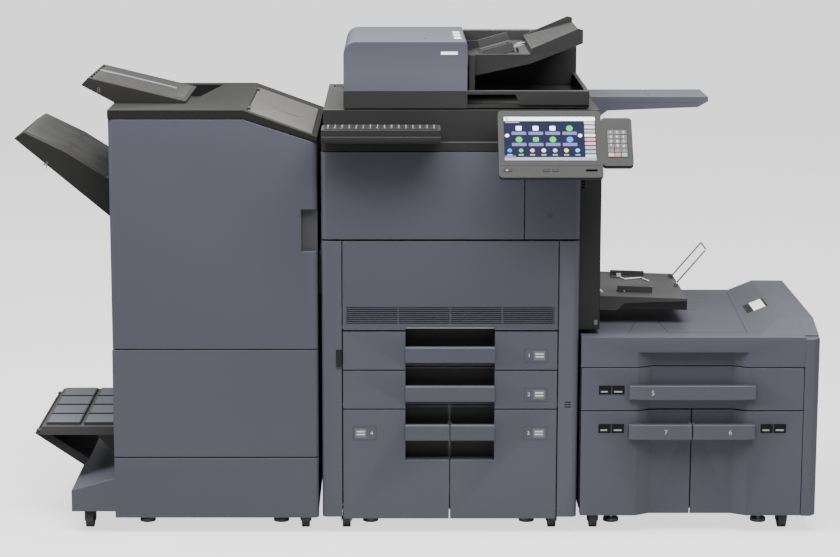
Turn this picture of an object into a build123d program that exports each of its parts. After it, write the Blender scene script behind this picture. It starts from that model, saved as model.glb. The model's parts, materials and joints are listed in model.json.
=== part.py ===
from build123d import *
import os

# Office photocopier: a main unit with scanner and document feeder, a finisher on its left and
# a large-capacity paper feeder on its right. Millimetres, +Z up, the front faces -Y.
# X = 0 is the middle of the main unit and Y = 0 its front face while the pieces are made. The last
# section moves them all so that the origin is the middle of the whole machine at floor level.

# ---- driving dimensions ----
SKIN = 3.0              # moulded cover walls
SHEET = 3.0             # folded frame walls
SEAM = 3.0              # seam between neighbouring covers
FIT = 0.4               # gap of a sliding piece to its rail
SEAT = 0.3              # gap between two pieces of one node that are screwed together
SPIN = 0.05             # radial clearance of a shaft in its bore
COVER = 20.0            # thickness of the front covers
ROUND = 14.0            # corner radius of the tall cabinets

BODY_W = 640.0          # main unit
BODY_D = 620.0
BASE_Z = 36.0
LOWER_DRAWER_H = 285.5
DRAWER_H = 99.75
MIDDLE_COVER_H = 230.5
UPPER_COVER_H = 222.5
COLUMN_W = 51.5         # front column beside the drawers
NAME_COVER_W = 138.0    # small cover at the upper right
HANDLE_W = 223.0        # pocket for the bar handles
HANDLE_BAR_H = 41.0
POCKET_D = 42.0

SCAN_LIP_H = 20.0       # scanner
SCAN_H = 98.0
SCAN_D = 590.0
SCAN_OVERHANG = 44.0

FEED_LEFT = -264.0      # document feeder
FEED_W = 304.0
ADF_BASE_H = 42.0
ADF_COVER_H = 120.5
ADF_RIGHT = 339.0
ADF_FRONT = 24.0
ADF_D = 436.0

PANEL_W = 250.0         # operation panel
PANEL_L = 190.0
PANEL_LEFT = 112.0
PANEL_TILT = 50.0       # slope of the screen above the horizontal, in degrees
KEYPAD_W = 74.0
KEYPAD_L = 136.0
KEYBOARD_W = 289.0
KEYBOARD_D = 100.0

TOWER_W = 55.0          # dark tower on the right side
TOWER_Z = 517.0

DOCK_GAP = 9.0          # finisher
FIN_W = 513.0
FIN_D = 600.0
FIN_H = 1052.0
FIN_BASE_Z = 39.5
FIN_LOWER_H = 196.5
FIN_DOOR_Z = 474.0
TRAY_A_REACH = 246.0
TRAY_A_TRAVEL = 400.0

FEEDER_GAP = 7.0        # side feeder
FEEDER_W = 558.0
FEEDER_END_W = 38.0
FEEDER_D = 594.0
FEEDER_H = 505.0

CASTER_R = 24.0
FOOT_R = 20.0

# ---- heights and lines worked out from them ----
HALF_W = BODY_W / 2
Z_LOWER = BASE_Z + LOWER_DRAWER_H
Z_DRAWER_2 = Z_LOWER + DRAWER_H
Z_DRAWER_1 = Z_DRAWER_2 + DRAWER_H
Z_MIDDLE = Z_DRAWER_1 + MIDDLE_COVER_H
Z_BODY = Z_MIDDLE + UPPER_COVER_H
Z_SCAN = Z_BODY + SCAN_H
DRAWER_HALF = HALF_W - COLUMN_W
FRAME_HALF = DRAWER_HALF + 8.0
SIDE_T = 14.0
REAR_T = 20.0
FIN_RIGHT = -HALF_W - DOCK_GAP
FIN_LEFT = FIN_RIGHT - FIN_W
FEEDER_LEFT = HALF_W + FEEDER_GAP
FEEDER_RIGHT = FEEDER_LEFT + FEEDER_W
END_RIGHT = FEEDER_RIGHT + FEEDER_END_W


# ---- helpers: each one works inside the BuildPart that is open where it is called ----
def block(x0, x1, y0, y1, z0, z1, mode=Mode.ADD):
    """A box that spans three ranges."""
    with Locations((x0, y0, z0)):
        Box(x1 - x0, y1 - y0, z1 - z0, align=(Align.MIN, Align.MIN, Align.MIN), mode=mode)


def front_profile(points, y0, y1, mode=Mode.ADD, radius=0.0):
    """An outline of X and Z points, extruded from y0 back to y1, with its corners rounded."""
    with BuildSketch(Plane.XZ.offset(-y1)) as outline:
        with BuildLine():
            Polyline(*points, close=True)
        make_face()
        if radius:
            fillet(outline.vertices(), radius)
    extrude(outline.sketch, amount=y1 - y0, mode=mode)


def side_profile(points, x0, x1, mode=Mode.ADD, radius=0.0):
    """An outline of Y and Z points, extruded from x0 right to x1, with its corners rounded."""
    with BuildSketch(Plane.YZ.offset(x0)) as outline:
        with BuildLine():
            Polyline(*points, close=True)
        make_face()
        if radius:
            fillet(outline.vertices(), radius)
    extrude(outline.sketch, amount=x1 - x0, mode=mode)


def plan_profile(points, z0, z1, mode=Mode.ADD):
    """An outline of X and Y points, extruded from z0 up to z1."""
    with BuildSketch(Plane.XY.offset(z0)) as outline:
        with BuildLine():
            Polyline(*points, close=True)
        make_face()
    extrude(outline.sketch, amount=z1 - z0, mode=mode)


def rod_x(y, z, r, x0, x1, mode=Mode.ADD):
    """A cylinder along X."""
    with Locations(Plane(origin=(x0, y, z), x_dir=(0, 1, 0), z_dir=(1, 0, 0))):
        Cylinder(r, x1 - x0, align=(Align.CENTER, Align.CENTER, Align.MIN), mode=mode)


def rod_y(x, z, r, y0, y1, mode=Mode.ADD):
    """A cylinder along Y."""
    with Locations(Plane(origin=(x, y0, z), x_dir=(1, 0, 0), z_dir=(0, 1, 0))):
        Cylinder(r, y1 - y0, align=(Align.CENTER, Align.CENTER, Align.MIN), mode=mode)


def round_front_corners(part, x_values, y, radius):
    """Round the upright edges of a cover that stand at the given places."""
    found = [e for e in part.edges().filter_by(Axis.Z)
             if abs(e.center().Y - y) < 0.01 and any(abs(e.center().X - x) < 0.01 for x in x_values)]
    fillet(found, radius)


def open_tray(x0, x1, y0, y1, z0, z1, wall=SKIN):
    """A paper tray: a floor and four walls, open at the top."""
    block(x0, x1, y0, y1, z0, z1)
    block(x0 + wall, x1 - wall, y0 + wall, y1 - wall, z0 + wall, z1 + 1, mode=Mode.SUBTRACT)


pieces = {}


def keep(name, piece):
    """Remember a finished piece under its name."""
    pieces[name] = piece


# ---- main frame: base plate, side walls, decks, drawer ledges, engine plates ----
LEDGE_W = 20.0
TRAY_HALF = DRAWER_HALF - 4.0
FLOOR_Z = 56.0
FRAME_Y0 = COVER + 2.0
FRAME_Y1 = BODY_D - REAR_T
DECK_T = 8.0
ENGINE_FRONT = 44.0
ENGINE_REAR = 520.0
TONER_X = (-200.0, -110.0, -20.0, 70.0)
TONER_R = 36.0
TONER_Z = Z_BODY - 70.0
DRUM_Z = Z_MIDDLE + 10.0
DRUM_R = 20.0
DRUM_SHAFT_R = 6.0
BELT_R = 22.0
BELT_T = 2.0
BELT_Z = DRUM_Z - DRUM_R - BELT_R - BELT_T - FIT
BELT_X = (-225.0, 95.0)
FUSER_R = 22.0
FUSER_X = 170.0
FUSER_GAP = 0.3
FUSER_Z = Z_MIDDLE + 60.0
NIP_X = FUSER_X + 2 * FUSER_R + FUSER_GAP
SHAFT_R = 6.0
FAN_X = -150.0
FAN_Z = Z_BODY - 150.0
LEDGE_T = 5.0
LEDGE_Z = (Z_DRAWER_2 + 4.0, Z_LOWER + 4.0, FLOOR_Z + 10.0)
HINGED_T = 18.0
HINGE_Y = 8.0
HINGE_RISE = 7.0
HINGE_R = 3.0
LUG_HALF = 5.0
UPPER_BOTTOM = Z_MIDDLE + 2.0
MIDDLE_BOTTOM = Z_DRAWER_1 + SEAM
UPPER_LUGS = (-250.0, 120.0)
MIDDLE_LUGS = (-200.0, 200.0)


def hinge_slots(places, bottom):
    """Slots and pin bores in a cover's lower edge, for the lugs of the frame."""
    for x in places:
        block(x - LUG_HALF - 1, x + LUG_HALF + 1, SKIN, HINGED_T + 1, bottom - 1, bottom + 14,
              mode=Mode.SUBTRACT)
        rod_x(HINGE_Y, bottom + HINGE_RISE, HINGE_R + SPIN, x - 14, x + 14, Mode.SUBTRACT)


with BuildPart() as main_frame:
    block(-FRAME_HALF - SHEET, FRAME_HALF + SHEET, FRAME_Y0, FRAME_Y1, FLOOR_Z, FLOOR_Z + SHEET)
    for side in (-1, 1):
        x = sorted((side * FRAME_HALF, side * (FRAME_HALF + SHEET)))
        block(x[0], x[1], FRAME_Y0, FRAME_Y1, FLOOR_Z, Z_BODY)
        wide = sorted((side * FRAME_HALF, side * (HALF_W - SIDE_T)))
        block(wide[0], wide[1], FRAME_Y0, FRAME_Y1, Z_BODY - DECK_T, Z_BODY)
        ledge = sorted((side * FRAME_HALF, side * (FRAME_HALF - LEDGE_W)))
        for z in LEDGE_Z:
            block(ledge[0], ledge[1], FRAME_Y0, FRAME_Y1, z, z + LEDGE_T)
    block(-FRAME_HALF, FRAME_HALF, FRAME_Y0, FRAME_Y1, Z_BODY - DECK_T, Z_BODY)
    block(-FRAME_HALF, FRAME_HALF, FRAME_Y0, FRAME_Y1, Z_DRAWER_1 + 2, Z_DRAWER_1 + 2 + DECK_T)
    block(-FRAME_HALF - SHEET, FRAME_HALF + SHEET, FRAME_Y1 - SHEET, FRAME_Y1, FLOOR_Z, Z_BODY)
    block(-SKIN, SKIN, FRAME_Y0 + POCKET_D, FRAME_Y1, FLOOR_Z, LEDGE_Z[1] + LEDGE_T)
    for side in (-1, 1):
        ledge = sorted((side * SKIN, side * (SKIN + LEDGE_W)))
        block(ledge[0], ledge[1], FRAME_Y0 + POCKET_D, FRAME_Y1, LEDGE_Z[2], LEDGE_Z[2] + LEDGE_T)
    for y in (ENGINE_FRONT, ENGINE_REAR):
        block(-FRAME_HALF, FRAME_HALF, y, y + SHEET, Z_DRAWER_1 + 2, Z_BODY)
    for x in TONER_X:
        rod_y(x, TONER_Z, TONER_R + FIT, ENGINE_FRONT - 1, ENGINE_FRONT + SHEET + 1, Mode.SUBTRACT)
    for x, z in [(FUSER_X, FUSER_Z), (NIP_X, FUSER_Z), (BELT_X[1], BELT_Z), (BELT_X[0], BELT_Z)]:
        rod_y(x, z, SHAFT_R + SPIN, ENGINE_FRONT - 1, ENGINE_REAR + SHEET + 1, Mode.SUBTRACT)
    for x in TONER_X:
        rod_y(x, DRUM_Z, DRUM_SHAFT_R + SPIN, ENGINE_FRONT - 1, ENGINE_REAR + SHEET + 1, Mode.SUBTRACT)
    rod_y(FAN_X, FAN_Z, SHAFT_R, FRAME_Y1 - 30, FRAME_Y1 - SHEET)
    for x in (-FRAME_HALF + 60, FRAME_HALF - 60):
        rod_y(x, Z_DRAWER_1 + 60, 8, FRAME_Y1 - SHEET - 1, FRAME_Y1 + 1, Mode.SUBTRACT)
    for places, bottom in ((UPPER_LUGS, UPPER_BOTTOM), (MIDDLE_LUGS, MIDDLE_BOTTOM)):
        for x in places:
            z = bottom + HINGE_RISE
            rod_x(HINGE_Y, z, HINGE_R + 1.5, x - LUG_HALF, x + LUG_HALF)
            block(x - LUG_HALF, x + LUG_HALF, HINGE_Y, ENGINE_FRONT + 1, z - 4, z + 4)
            rod_x(HINGE_Y, z, HINGE_R, x - 13, x + 13)
keep("main_frame", main_frame)

# ---- rear cover with a fan grille ----
with BuildPart() as rear_cover:
    block(-HALF_W, HALF_W, FRAME_Y1, BODY_D, BASE_Z + 6, Z_BODY)
    for k in range(9):
        z = FAN_Z - 48 + k * 12
        block(FAN_X - 50, FAN_X + 50, FRAME_Y1 - 1, BODY_D + 1, z, z + 6, mode=Mode.SUBTRACT)
    block(HALF_W - 120, HALF_W - 70, BODY_D - 12, BODY_D + 1, 120, 160, mode=Mode.SUBTRACT)
keep("rear_cover", rear_cover)

with BuildPart() as power_inlet:
    block(HALF_W - 119, HALF_W - 71, BODY_D - 12, BODY_D, 121, 159)
    block(HALF_W - 110, HALF_W - 80, BODY_D - 9, BODY_D + 1, 128, 152, mode=Mode.SUBTRACT)
    for dx in (-8, 0, 8):
        block(HALF_W - 96 + dx, HALF_W - 94 + dx, BODY_D - 9, BODY_D - 2, 137, 143)
keep("power_inlet", power_inlet)

# ---- side covers, each with the front column below the upper covers ----
for side, name in ((-1, "left_side_cover"), (1, "right_side_cover")):
    with BuildPart() as side_cover:
        wall = sorted((side * HALF_W, side * (HALF_W - SIDE_T)))
        column = sorted((side * HALF_W, side * (DRAWER_HALF + SEAM / 2)))
        block(wall[0], wall[1], COVER, FRAME_Y1, BASE_Z + 6, Z_MIDDLE - SEAM)
        block(column[0], column[1], 0, FRAME_Y0, BASE_Z + 6, Z_MIDDLE - SEAM)
        block(wall[0], wall[1], COVER + 4, FRAME_Y1, Z_MIDDLE - SEAM, Z_BODY)
        round_front_corners(side_cover, [side * HALF_W], 0, ROUND)
        if side > 0:
            for k in range(3):
                z = Z_LOWER + 4 + k * 6
                block(HALF_W - 34, HALF_W - 18, -1, 5, z, z + 3, mode=Mode.SUBTRACT)
    keep(name, side_cover)

# ---- front covers of the main unit ----
NAME_LEFT = HALF_W - NAME_COVER_W
VENT_ROWS = 9
VENT_PITCH = 4.9
VENT_HALF = DRAWER_HALF - 10.0

with BuildPart() as upper_front_cover:
    block(-HALF_W, NAME_LEFT - SEAM / 2, 0, HINGED_T, UPPER_BOTTOM, Z_BODY - SEAM)
    round_front_corners(upper_front_cover, [-HALF_W], 0, ROUND)
    block(-HALF_W + ROUND, NAME_LEFT - SEAM / 2 - SKIN, SKIN, HINGED_T + 1,
          UPPER_BOTTOM + 12, Z_BODY - SEAM - SKIN, mode=Mode.SUBTRACT)
    hinge_slots(UPPER_LUGS, UPPER_BOTTOM)
keep("upper_front_cover", upper_front_cover)

with BuildPart() as small_front_cover:
    block(NAME_LEFT + SEAM / 2, HALF_W, 0, FRAME_Y0, UPPER_BOTTOM, Z_BODY - SEAM)
    round_front_corners(small_front_cover, [HALF_W], 0, ROUND)
    block(NAME_LEFT + SEAM / 2 + SKIN, HALF_W - ROUND, SKIN, FRAME_Y0 + 1,
          UPPER_BOTTOM + SKIN, Z_BODY - SEAM - SKIN, mode=Mode.SUBTRACT)
keep("small_front_cover", small_front_cover)

with BuildPart() as middle_front_cover:
    half = DRAWER_HALF - SEAM / 2
    block(-half, half, 0, HINGED_T, MIDDLE_BOTTOM, Z_MIDDLE - SEAM)
    block(-half + SKIN, half - SKIN, SKIN, HINGED_T + 1, MIDDLE_BOTTOM + 12, Z_MIDDLE - SEAM - SKIN,
          mode=Mode.SUBTRACT)
    block(-HANDLE_W / 2, HANDLE_W / 2, -1, HINGED_T + 1, MIDDLE_BOTTOM - 1, MIDDLE_BOTTOM + 7,
          mode=Mode.SUBTRACT)
    for k in range(VENT_ROWS):
        z = MIDDLE_BOTTOM + 16 + k * VENT_PITCH
        block(-VENT_HALF, VENT_HALF, -1, SKIN + 1, z, z + 2.6, mode=Mode.SUBTRACT)
    for x in (-VENT_HALF / 2, 0, VENT_HALF / 2):
        block(x - 2, x + 2, 1, SKIN + 2, MIDDLE_BOTTOM + 14, MIDDLE_BOTTOM + 62)
    hinge_slots(MIDDLE_LUGS, MIDDLE_BOTTOM)
keep("middle_front_cover", middle_front_cover)

# ---- drawers 1 to 4: a front with a pocket and a bar handle, and the tray it is screwed to ----
POCKET_BACK = POCKET_D + SKIN
TRAY_END = 560.0
BAR_FRONT = -4.0
BAR_T = 14.0
BAR_DROP = 40.5         # from the top of the drawer's opening down to the top of the bar

DRAWERS = {
    "drawer_1": (-DRAWER_HALF, DRAWER_HALF, Z_DRAWER_2, Z_DRAWER_1, LEDGE_Z[0]),
    "drawer_2": (-DRAWER_HALF, DRAWER_HALF, Z_LOWER, Z_DRAWER_2, LEDGE_Z[1]),
    "drawer_3": (0.0, DRAWER_HALF, BASE_Z, Z_LOWER, LEDGE_Z[2]),
    "drawer_4": (-DRAWER_HALF, 0.0, BASE_Z, Z_LOWER, LEDGE_Z[2]),
}
POCKET_LOW = 92.0       # the lower drawers' pocket reaches this far below the bar's top edge

for name, (x0, x1, z0, z1, ledge) in DRAWERS.items():
    left, right = x0 + SEAM / 2, x1 - SEAM / 2
    low, high = z0 + SEAM / 2, z1 - SEAM / 2
    pocket_left = max(-HANDLE_W / 2, left - 1)
    pocket_right = min(HANDLE_W / 2, right + 1)
    bar_top = z1 - BAR_DROP
    pocket_low = max(z0, bar_top - POCKET_LOW)
    with BuildPart() as drawer:
        block(left, right, 0, COVER, low, high)
        block(left + 12, right - 12, SKIN, COVER + 1, low + 12, high - 12, mode=Mode.SUBTRACT)
        block(max(left, pocket_left - 10), min(right, pocket_right + 10), SKIN, POCKET_BACK,
              max(low, pocket_low - SKIN), high)
        block(pocket_left, pocket_right, -1, POCKET_D, pocket_low, z1, mode=Mode.SUBTRACT)
        block(max(left, pocket_left), min(right, pocket_right), BAR_FRONT, BAR_FRONT + BAR_T,
              bar_top - HANDLE_BAR_H, bar_top)
        ends = drawer.edges().filter_by(Axis.X).filter_by(
            lambda e: abs(e.center().Y - BAR_FRONT) < 0.01)
        fillet(ends, 4.0)
        if pocket_left < left:
            block(left, left + SKIN, BAR_FRONT + BAR_T, POCKET_BACK, bar_top - HANDLE_BAR_H, bar_top)
        if pocket_right > right:
            block(right - SKIN, right, BAR_FRONT + BAR_T, POCKET_BACK, bar_top - HANDLE_BAR_H, bar_top)
        tray_left = -TRAY_HALF if x0 < 0 else SKIN + 2
        tray_right = TRAY_HALF if x1 > 0 else -SKIN - 2
        tray_floor = ledge + LEDGE_T + FIT
        open_tray(tray_left, tray_right, POCKET_BACK + SEAT, TRAY_END, tray_floor, high - 9)
    keep(name, drawer)

# ---- engine parts inside the main unit ----
with BuildPart() as toner_and_drum_units:
    for x in TONER_X:
        rod_y(x, TONER_Z, TONER_R, ENGINE_FRONT - 14, ENGINE_REAR)
        block(x - 5, x + 5, ENGINE_FRONT - 20, ENGINE_FRONT - 13, TONER_Z - 24, TONER_Z + 24)
        rod_y(x, DRUM_Z, DRUM_R, ENGINE_FRONT + SHEET + 2, ENGINE_REAR - 2)
        rod_y(x, DRUM_Z, DRUM_SHAFT_R, ENGINE_FRONT - 4, ENGINE_REAR + SHEET + 4)
keep("toner_and_drum_units", toner_and_drum_units)

with BuildPart() as transfer_belt:
    with BuildSketch(Plane.XZ.offset(-(ENGINE_REAR - 8))):
        with Locations(((BELT_X[0] + BELT_X[1]) / 2, BELT_Z)):
            SlotCenterToCenter(BELT_X[1] - BELT_X[0], 2 * (BELT_R + BELT_T))
            SlotCenterToCenter(BELT_X[1] - BELT_X[0], 2 * BELT_R, mode=Mode.SUBTRACT)
    extrude(amount=ENGINE_REAR - ENGINE_FRONT - SHEET - 16)
    for x in BELT_X:
        rod_y(x, BELT_Z, BELT_R - FIT, ENGINE_FRONT + SHEET + 4, ENGINE_REAR - 4)
        rod_y(x, BELT_Z, SHAFT_R, ENGINE_FRONT - 6, ENGINE_REAR + SHEET + 6)
keep("transfer_belt", transfer_belt)

ROLLERS = {
    "fuser_heat_roller": (FUSER_X, FUSER_Z, FUSER_R),
    "fuser_pressure_roller": (NIP_X, FUSER_Z, FUSER_R),
}
for name, (x, z, radius) in ROLLERS.items():
    with BuildPart() as roller:
        rod_y(x, z, radius, ENGINE_FRONT + SHEET + 4, ENGINE_REAR - 4)
        rod_y(x, z, SHAFT_R, ENGINE_FRONT - 6, ENGINE_REAR + SHEET + 6)
    keep(name, roller)

FAN_BLADES = 7
FAN_Y0 = FRAME_Y1 - 28.0
FAN_Y1 = FRAME_Y1 - 10.0
with BuildPart() as cooling_fan:
    rod_y(FAN_X, FAN_Z, 18, FAN_Y0, FAN_Y1)
    for k in range(FAN_BLADES):
        with Locations(Location((FAN_X, (FAN_Y0 + FAN_Y1) / 2, FAN_Z), (0, 360 / FAN_BLADES * k, 0))):
            with Locations(Location((30, 0, 0), (35, 0, 0))):
                Box(32, 2.5, 18)
    rod_y(FAN_X, FAN_Z, SHAFT_R + SPIN, FAN_Y0 - 1, FAN_Y1 + 1, Mode.SUBTRACT)
keep("cooling_fan", cooling_fan)

# ---- scanner ----
SCAN_RIGHT = HALF_W + SCAN_OVERHANG
SCAN_LEFT = -HALF_W + 6.0
SCAN_FACE_Y = 20.0
LIP_TOP = Z_BODY + SCAN_LIP_H
GLASS_X = (-165.0, 285.0)
GLASS_Y = (75.0, 425.0)
GLASS_T = 4.0
RAIL_R = 5.0
RAIL_Z = Z_BODY + 58.0
RAIL_Y = (120.0, 380.0)
CARRIAGE_W = 34.0
CARRIAGE_X = -250.0
CARRIAGE_TRAVEL = 440.0
BAY_X = (CARRIAGE_X - 42.0, CARRIAGE_X + CARRIAGE_W + CARRIAGE_TRAVEL + 76.0)
HINGE_ADF_Y = 500.0
HINGE_ADF_Z = Z_SCAN + 12.0
HINGE_PIN_R = 6.0
KNUCKLE_W = 40.0
KNUCKLES = (-190.0, 230.0)

with BuildPart() as scanner_housing:
    block(-HALF_W, HALF_W, 0, SCAN_D, Z_BODY, LIP_TOP)
    round_front_corners(scanner_housing, [-HALF_W, HALF_W], 0, ROUND)
    block(SCAN_LEFT, SCAN_RIGHT, SCAN_FACE_Y, SCAN_D, LIP_TOP, Z_SCAN)
    block(BAY_X[0], BAY_X[1], 60, 480, Z_BODY + 10, Z_SCAN - 10, mode=Mode.SUBTRACT)
    block(GLASS_X[0], GLASS_X[1], GLASS_Y[0], GLASS_Y[1], Z_SCAN - GLASS_T, Z_SCAN + 1,
          mode=Mode.SUBTRACT)
    block(GLASS_X[0] + 10, GLASS_X[1] - 10, GLASS_Y[0] + 10, GLASS_Y[1] - 10, Z_SCAN - 11, Z_SCAN,
          mode=Mode.SUBTRACT)
    for y in RAIL_Y:
        rod_x(y, RAIL_Z, RAIL_R, BAY_X[0] - 1, BAY_X[1] + 1)
    for x in KNUCKLES:
        for x0, x1 in ((x - 22, x - SEAM / 2), (x + KNUCKLE_W + SEAM / 2, x + KNUCKLE_W + 22)):
            block(x0, x1, HINGE_ADF_Y - 10, HINGE_ADF_Y + 10, Z_SCAN, HINGE_ADF_Z + 10)
        rod_x(HINGE_ADF_Y, HINGE_ADF_Z, HINGE_PIN_R, x - 22, x + KNUCKLE_W + 22)
    for k in range(12):
        block(-300 + k * 8, -296 + k * 8, SCAN_D - 70, SCAN_D - 30, Z_SCAN - 4, Z_SCAN + 1,
              mode=Mode.SUBTRACT)
keep("scanner_housing", scanner_housing)

with BuildPart() as platen_glass:
    block(GLASS_X[0], GLASS_X[1], GLASS_Y[0], GLASS_Y[1], Z_SCAN - GLASS_T, Z_SCAN)
keep("platen_glass", platen_glass)

with BuildPart() as scan_carriage:
    block(CARRIAGE_X, CARRIAGE_X + CARRIAGE_W, RAIL_Y[0] - 20, RAIL_Y[1] + 20, RAIL_Z - 12, RAIL_Z + 14)
    block(CARRIAGE_X + 14, CARRIAGE_X + 20, RAIL_Y[0] + 10, RAIL_Y[1] - 10, RAIL_Z + 4, RAIL_Z + 15,
          mode=Mode.SUBTRACT)
    for y in RAIL_Y:
        rod_x(y, RAIL_Z, RAIL_R + SPIN, CARRIAGE_X - 1, CARRIAGE_X + CARRIAGE_W + 1, Mode.SUBTRACT)
keep("scan_carriage", scan_carriage)

# ---- document feeder: base with rear wall, feed cover, tray with guides, feed roller ----
ADF_Z = Z_SCAN + 4.0
ADF_TOP = ADF_Z + ADF_BASE_H
FEED_RIGHT = FEED_LEFT + FEED_W
COVER_Z = ADF_TOP + FIT
ADF_BACK = ADF_FRONT + ADF_D
WALL_Y = ADF_BACK - 20.0
TRAY_PIVOT_X = FEED_RIGHT + 12.0
TRAY_PIVOT_Z = ADF_TOP + 78.0
TRAY_PIN_R = 4.0
TRAY_FRONT = ADF_FRONT + 36.0
TRAY_BACK = WALL_Y - 8.0
FEED_ROLLER_X = FEED_RIGHT - 34.0
FEED_ROLLER_Z = ADF_TOP + 62.0
FEED_ROLLER_R = 14.0
POST_T = 8.0
POST_Y = (ADF_FRONT + 40.0, ADF_BACK - 60.0)
FEED_HINGE_Y = (ADF_FRONT + 90.0, ADF_BACK - 120.0)
KNUCKLE_R = 4.0
KNUCKLE_PIN_R = 2.0
KNUCKLE_L = 24.0
HOLDER_L = 9.0


def knuckle(x, z, y, radius, mode=Mode.ADD):
    """The turning sleeve of a small hinge along Y, or its bore."""
    rod_y(x, z, radius, y, y + KNUCKLE_L, mode)


def knuckle_holders(x, z, y, radius, mode=Mode.ADD):
    """The two fixed sleeves beside a hinge's turning one, with their pin, or the room for them."""
    gap = SEAT if mode == Mode.ADD else 0
    rod_y(x, z, radius, y - HOLDER_L, y - gap, mode)
    rod_y(x, z, radius, y + KNUCKLE_L + gap, y + KNUCKLE_L + HOLDER_L, mode)
    if mode == Mode.ADD:
        rod_y(x, z, KNUCKLE_PIN_R, y - HOLDER_L, y + KNUCKLE_L + HOLDER_L)


with BuildPart() as adf_base:
    block(FEED_LEFT, FEED_RIGHT, ADF_FRONT, ADF_BACK, ADF_Z, ADF_TOP)
    block(FEED_LEFT + 6, FEED_RIGHT - 6, ADF_FRONT + 6, ADF_BACK - 6, ADF_Z + 8, ADF_TOP + 1,
          mode=Mode.SUBTRACT)
    block(FEED_RIGHT, ADF_RIGHT, ADF_FRONT + 4, ADF_BACK, ADF_Z, ADF_Z + 8)
    front_profile([(FEED_RIGHT, ADF_TOP), (FEED_RIGHT, ADF_TOP - 8), (FEED_RIGHT + 118, ADF_TOP - 8),
                   (FEED_RIGHT + 130, ADF_Z + 8), (ADF_RIGHT, ADF_Z + 8), (ADF_RIGHT, ADF_TOP)],
                  ADF_FRONT, ADF_FRONT + 24)
    block(FEED_RIGHT, ADF_RIGHT, WALL_Y, ADF_BACK, ADF_Z + 8, Z_SCAN + 157)
    block(ADF_RIGHT - 10, ADF_RIGHT, ADF_FRONT + 24, WALL_Y, ADF_Z + 8, ADF_TOP)
    for y in POST_Y:
        block(FEED_ROLLER_X - 12, FEED_ROLLER_X + 12, y, y + POST_T, ADF_Z + 8, FEED_ROLLER_Z + 14)
        rod_y(FEED_ROLLER_X, FEED_ROLLER_Z, SHAFT_R + SPIN, y - 1, y + POST_T + 1, Mode.SUBTRACT)
    rod_y(TRAY_PIVOT_X, TRAY_PIVOT_Z, TRAY_PIN_R, TRAY_BACK - 8, WALL_Y + 1)
    rod_y(TRAY_PIVOT_X, TRAY_PIVOT_Z, TRAY_PIN_R, TRAY_FRONT - 6, TRAY_FRONT + 8)
    block(TRAY_PIVOT_X - 7, TRAY_PIVOT_X + 7, TRAY_FRONT - 14, TRAY_FRONT - 6, ADF_TOP - 8, TRAY_PIVOT_Z + 8)
    for x in KNUCKLES:
        block(x, x + KNUCKLE_W, ADF_BACK - 1, HINGE_ADF_Y, HINGE_ADF_Z - 8, HINGE_ADF_Z + 8)
        rod_x(HINGE_ADF_Y, HINGE_ADF_Z, 8, x, x + KNUCKLE_W)
        rod_x(HINGE_ADF_Y, HINGE_ADF_Z, HINGE_PIN_R + SPIN, x - 1, x + KNUCKLE_W + 1, Mode.SUBTRACT)
    for y in FEED_HINGE_Y:
        knuckle(FEED_LEFT, COVER_Z, y, KNUCKLE_R + FIT, Mode.SUBTRACT)
        knuckle_holders(FEED_LEFT, COVER_Z, y, KNUCKLE_R)
keep("adf_base", adf_base)

with BuildPart() as adf_feed_cover:
    block(FEED_LEFT, FEED_RIGHT, ADF_FRONT, ADF_BACK - 13, COVER_Z, COVER_Z + ADF_COVER_H)
    top_left = [e for e in adf_feed_cover.edges().filter_by(Axis.Y)
                if e.center().X < FEED_LEFT + 1 and e.center().Z > COVER_Z + 50]
    fillet(top_left, 32)
    others = [e for e in adf_feed_cover.edges().filter_by(Axis.Y)
              if e.center().X > FEED_RIGHT - 1 and e.center().Z > COVER_Z + 50]
    fillet(others, 8)
    open_face = adf_feed_cover.faces().sort_by(Axis.Z)[0]
    offset(amount=-4, openings=open_face)
    block(FEED_RIGHT - 5, FEED_RIGHT + 1, TRAY_FRONT - 3, TRAY_BACK + 3, COVER_Z - 1, COVER_Z + 72,
          mode=Mode.SUBTRACT)
    for y in FEED_HINGE_Y:
        knuckle_holders(FEED_LEFT, COVER_Z, y, KNUCKLE_R + FIT, Mode.SUBTRACT)
        knuckle(FEED_LEFT, COVER_Z, y, KNUCKLE_R)
        knuckle(FEED_LEFT, COVER_Z, y, KNUCKLE_PIN_R + SPIN, Mode.SUBTRACT)
keep("adf_feed_cover", adf_feed_cover)

with BuildPart() as adf_feed_roller:
    rod_y(FEED_ROLLER_X, FEED_ROLLER_Z, SHAFT_R, POST_Y[0] - 6, POST_Y[1] + POST_T + 6)
    for y in (170, 240):
        rod_y(FEED_ROLLER_X, FEED_ROLLER_Z, FEED_ROLLER_R, y, y + 40)
keep("adf_feed_roller", adf_feed_roller)

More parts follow.
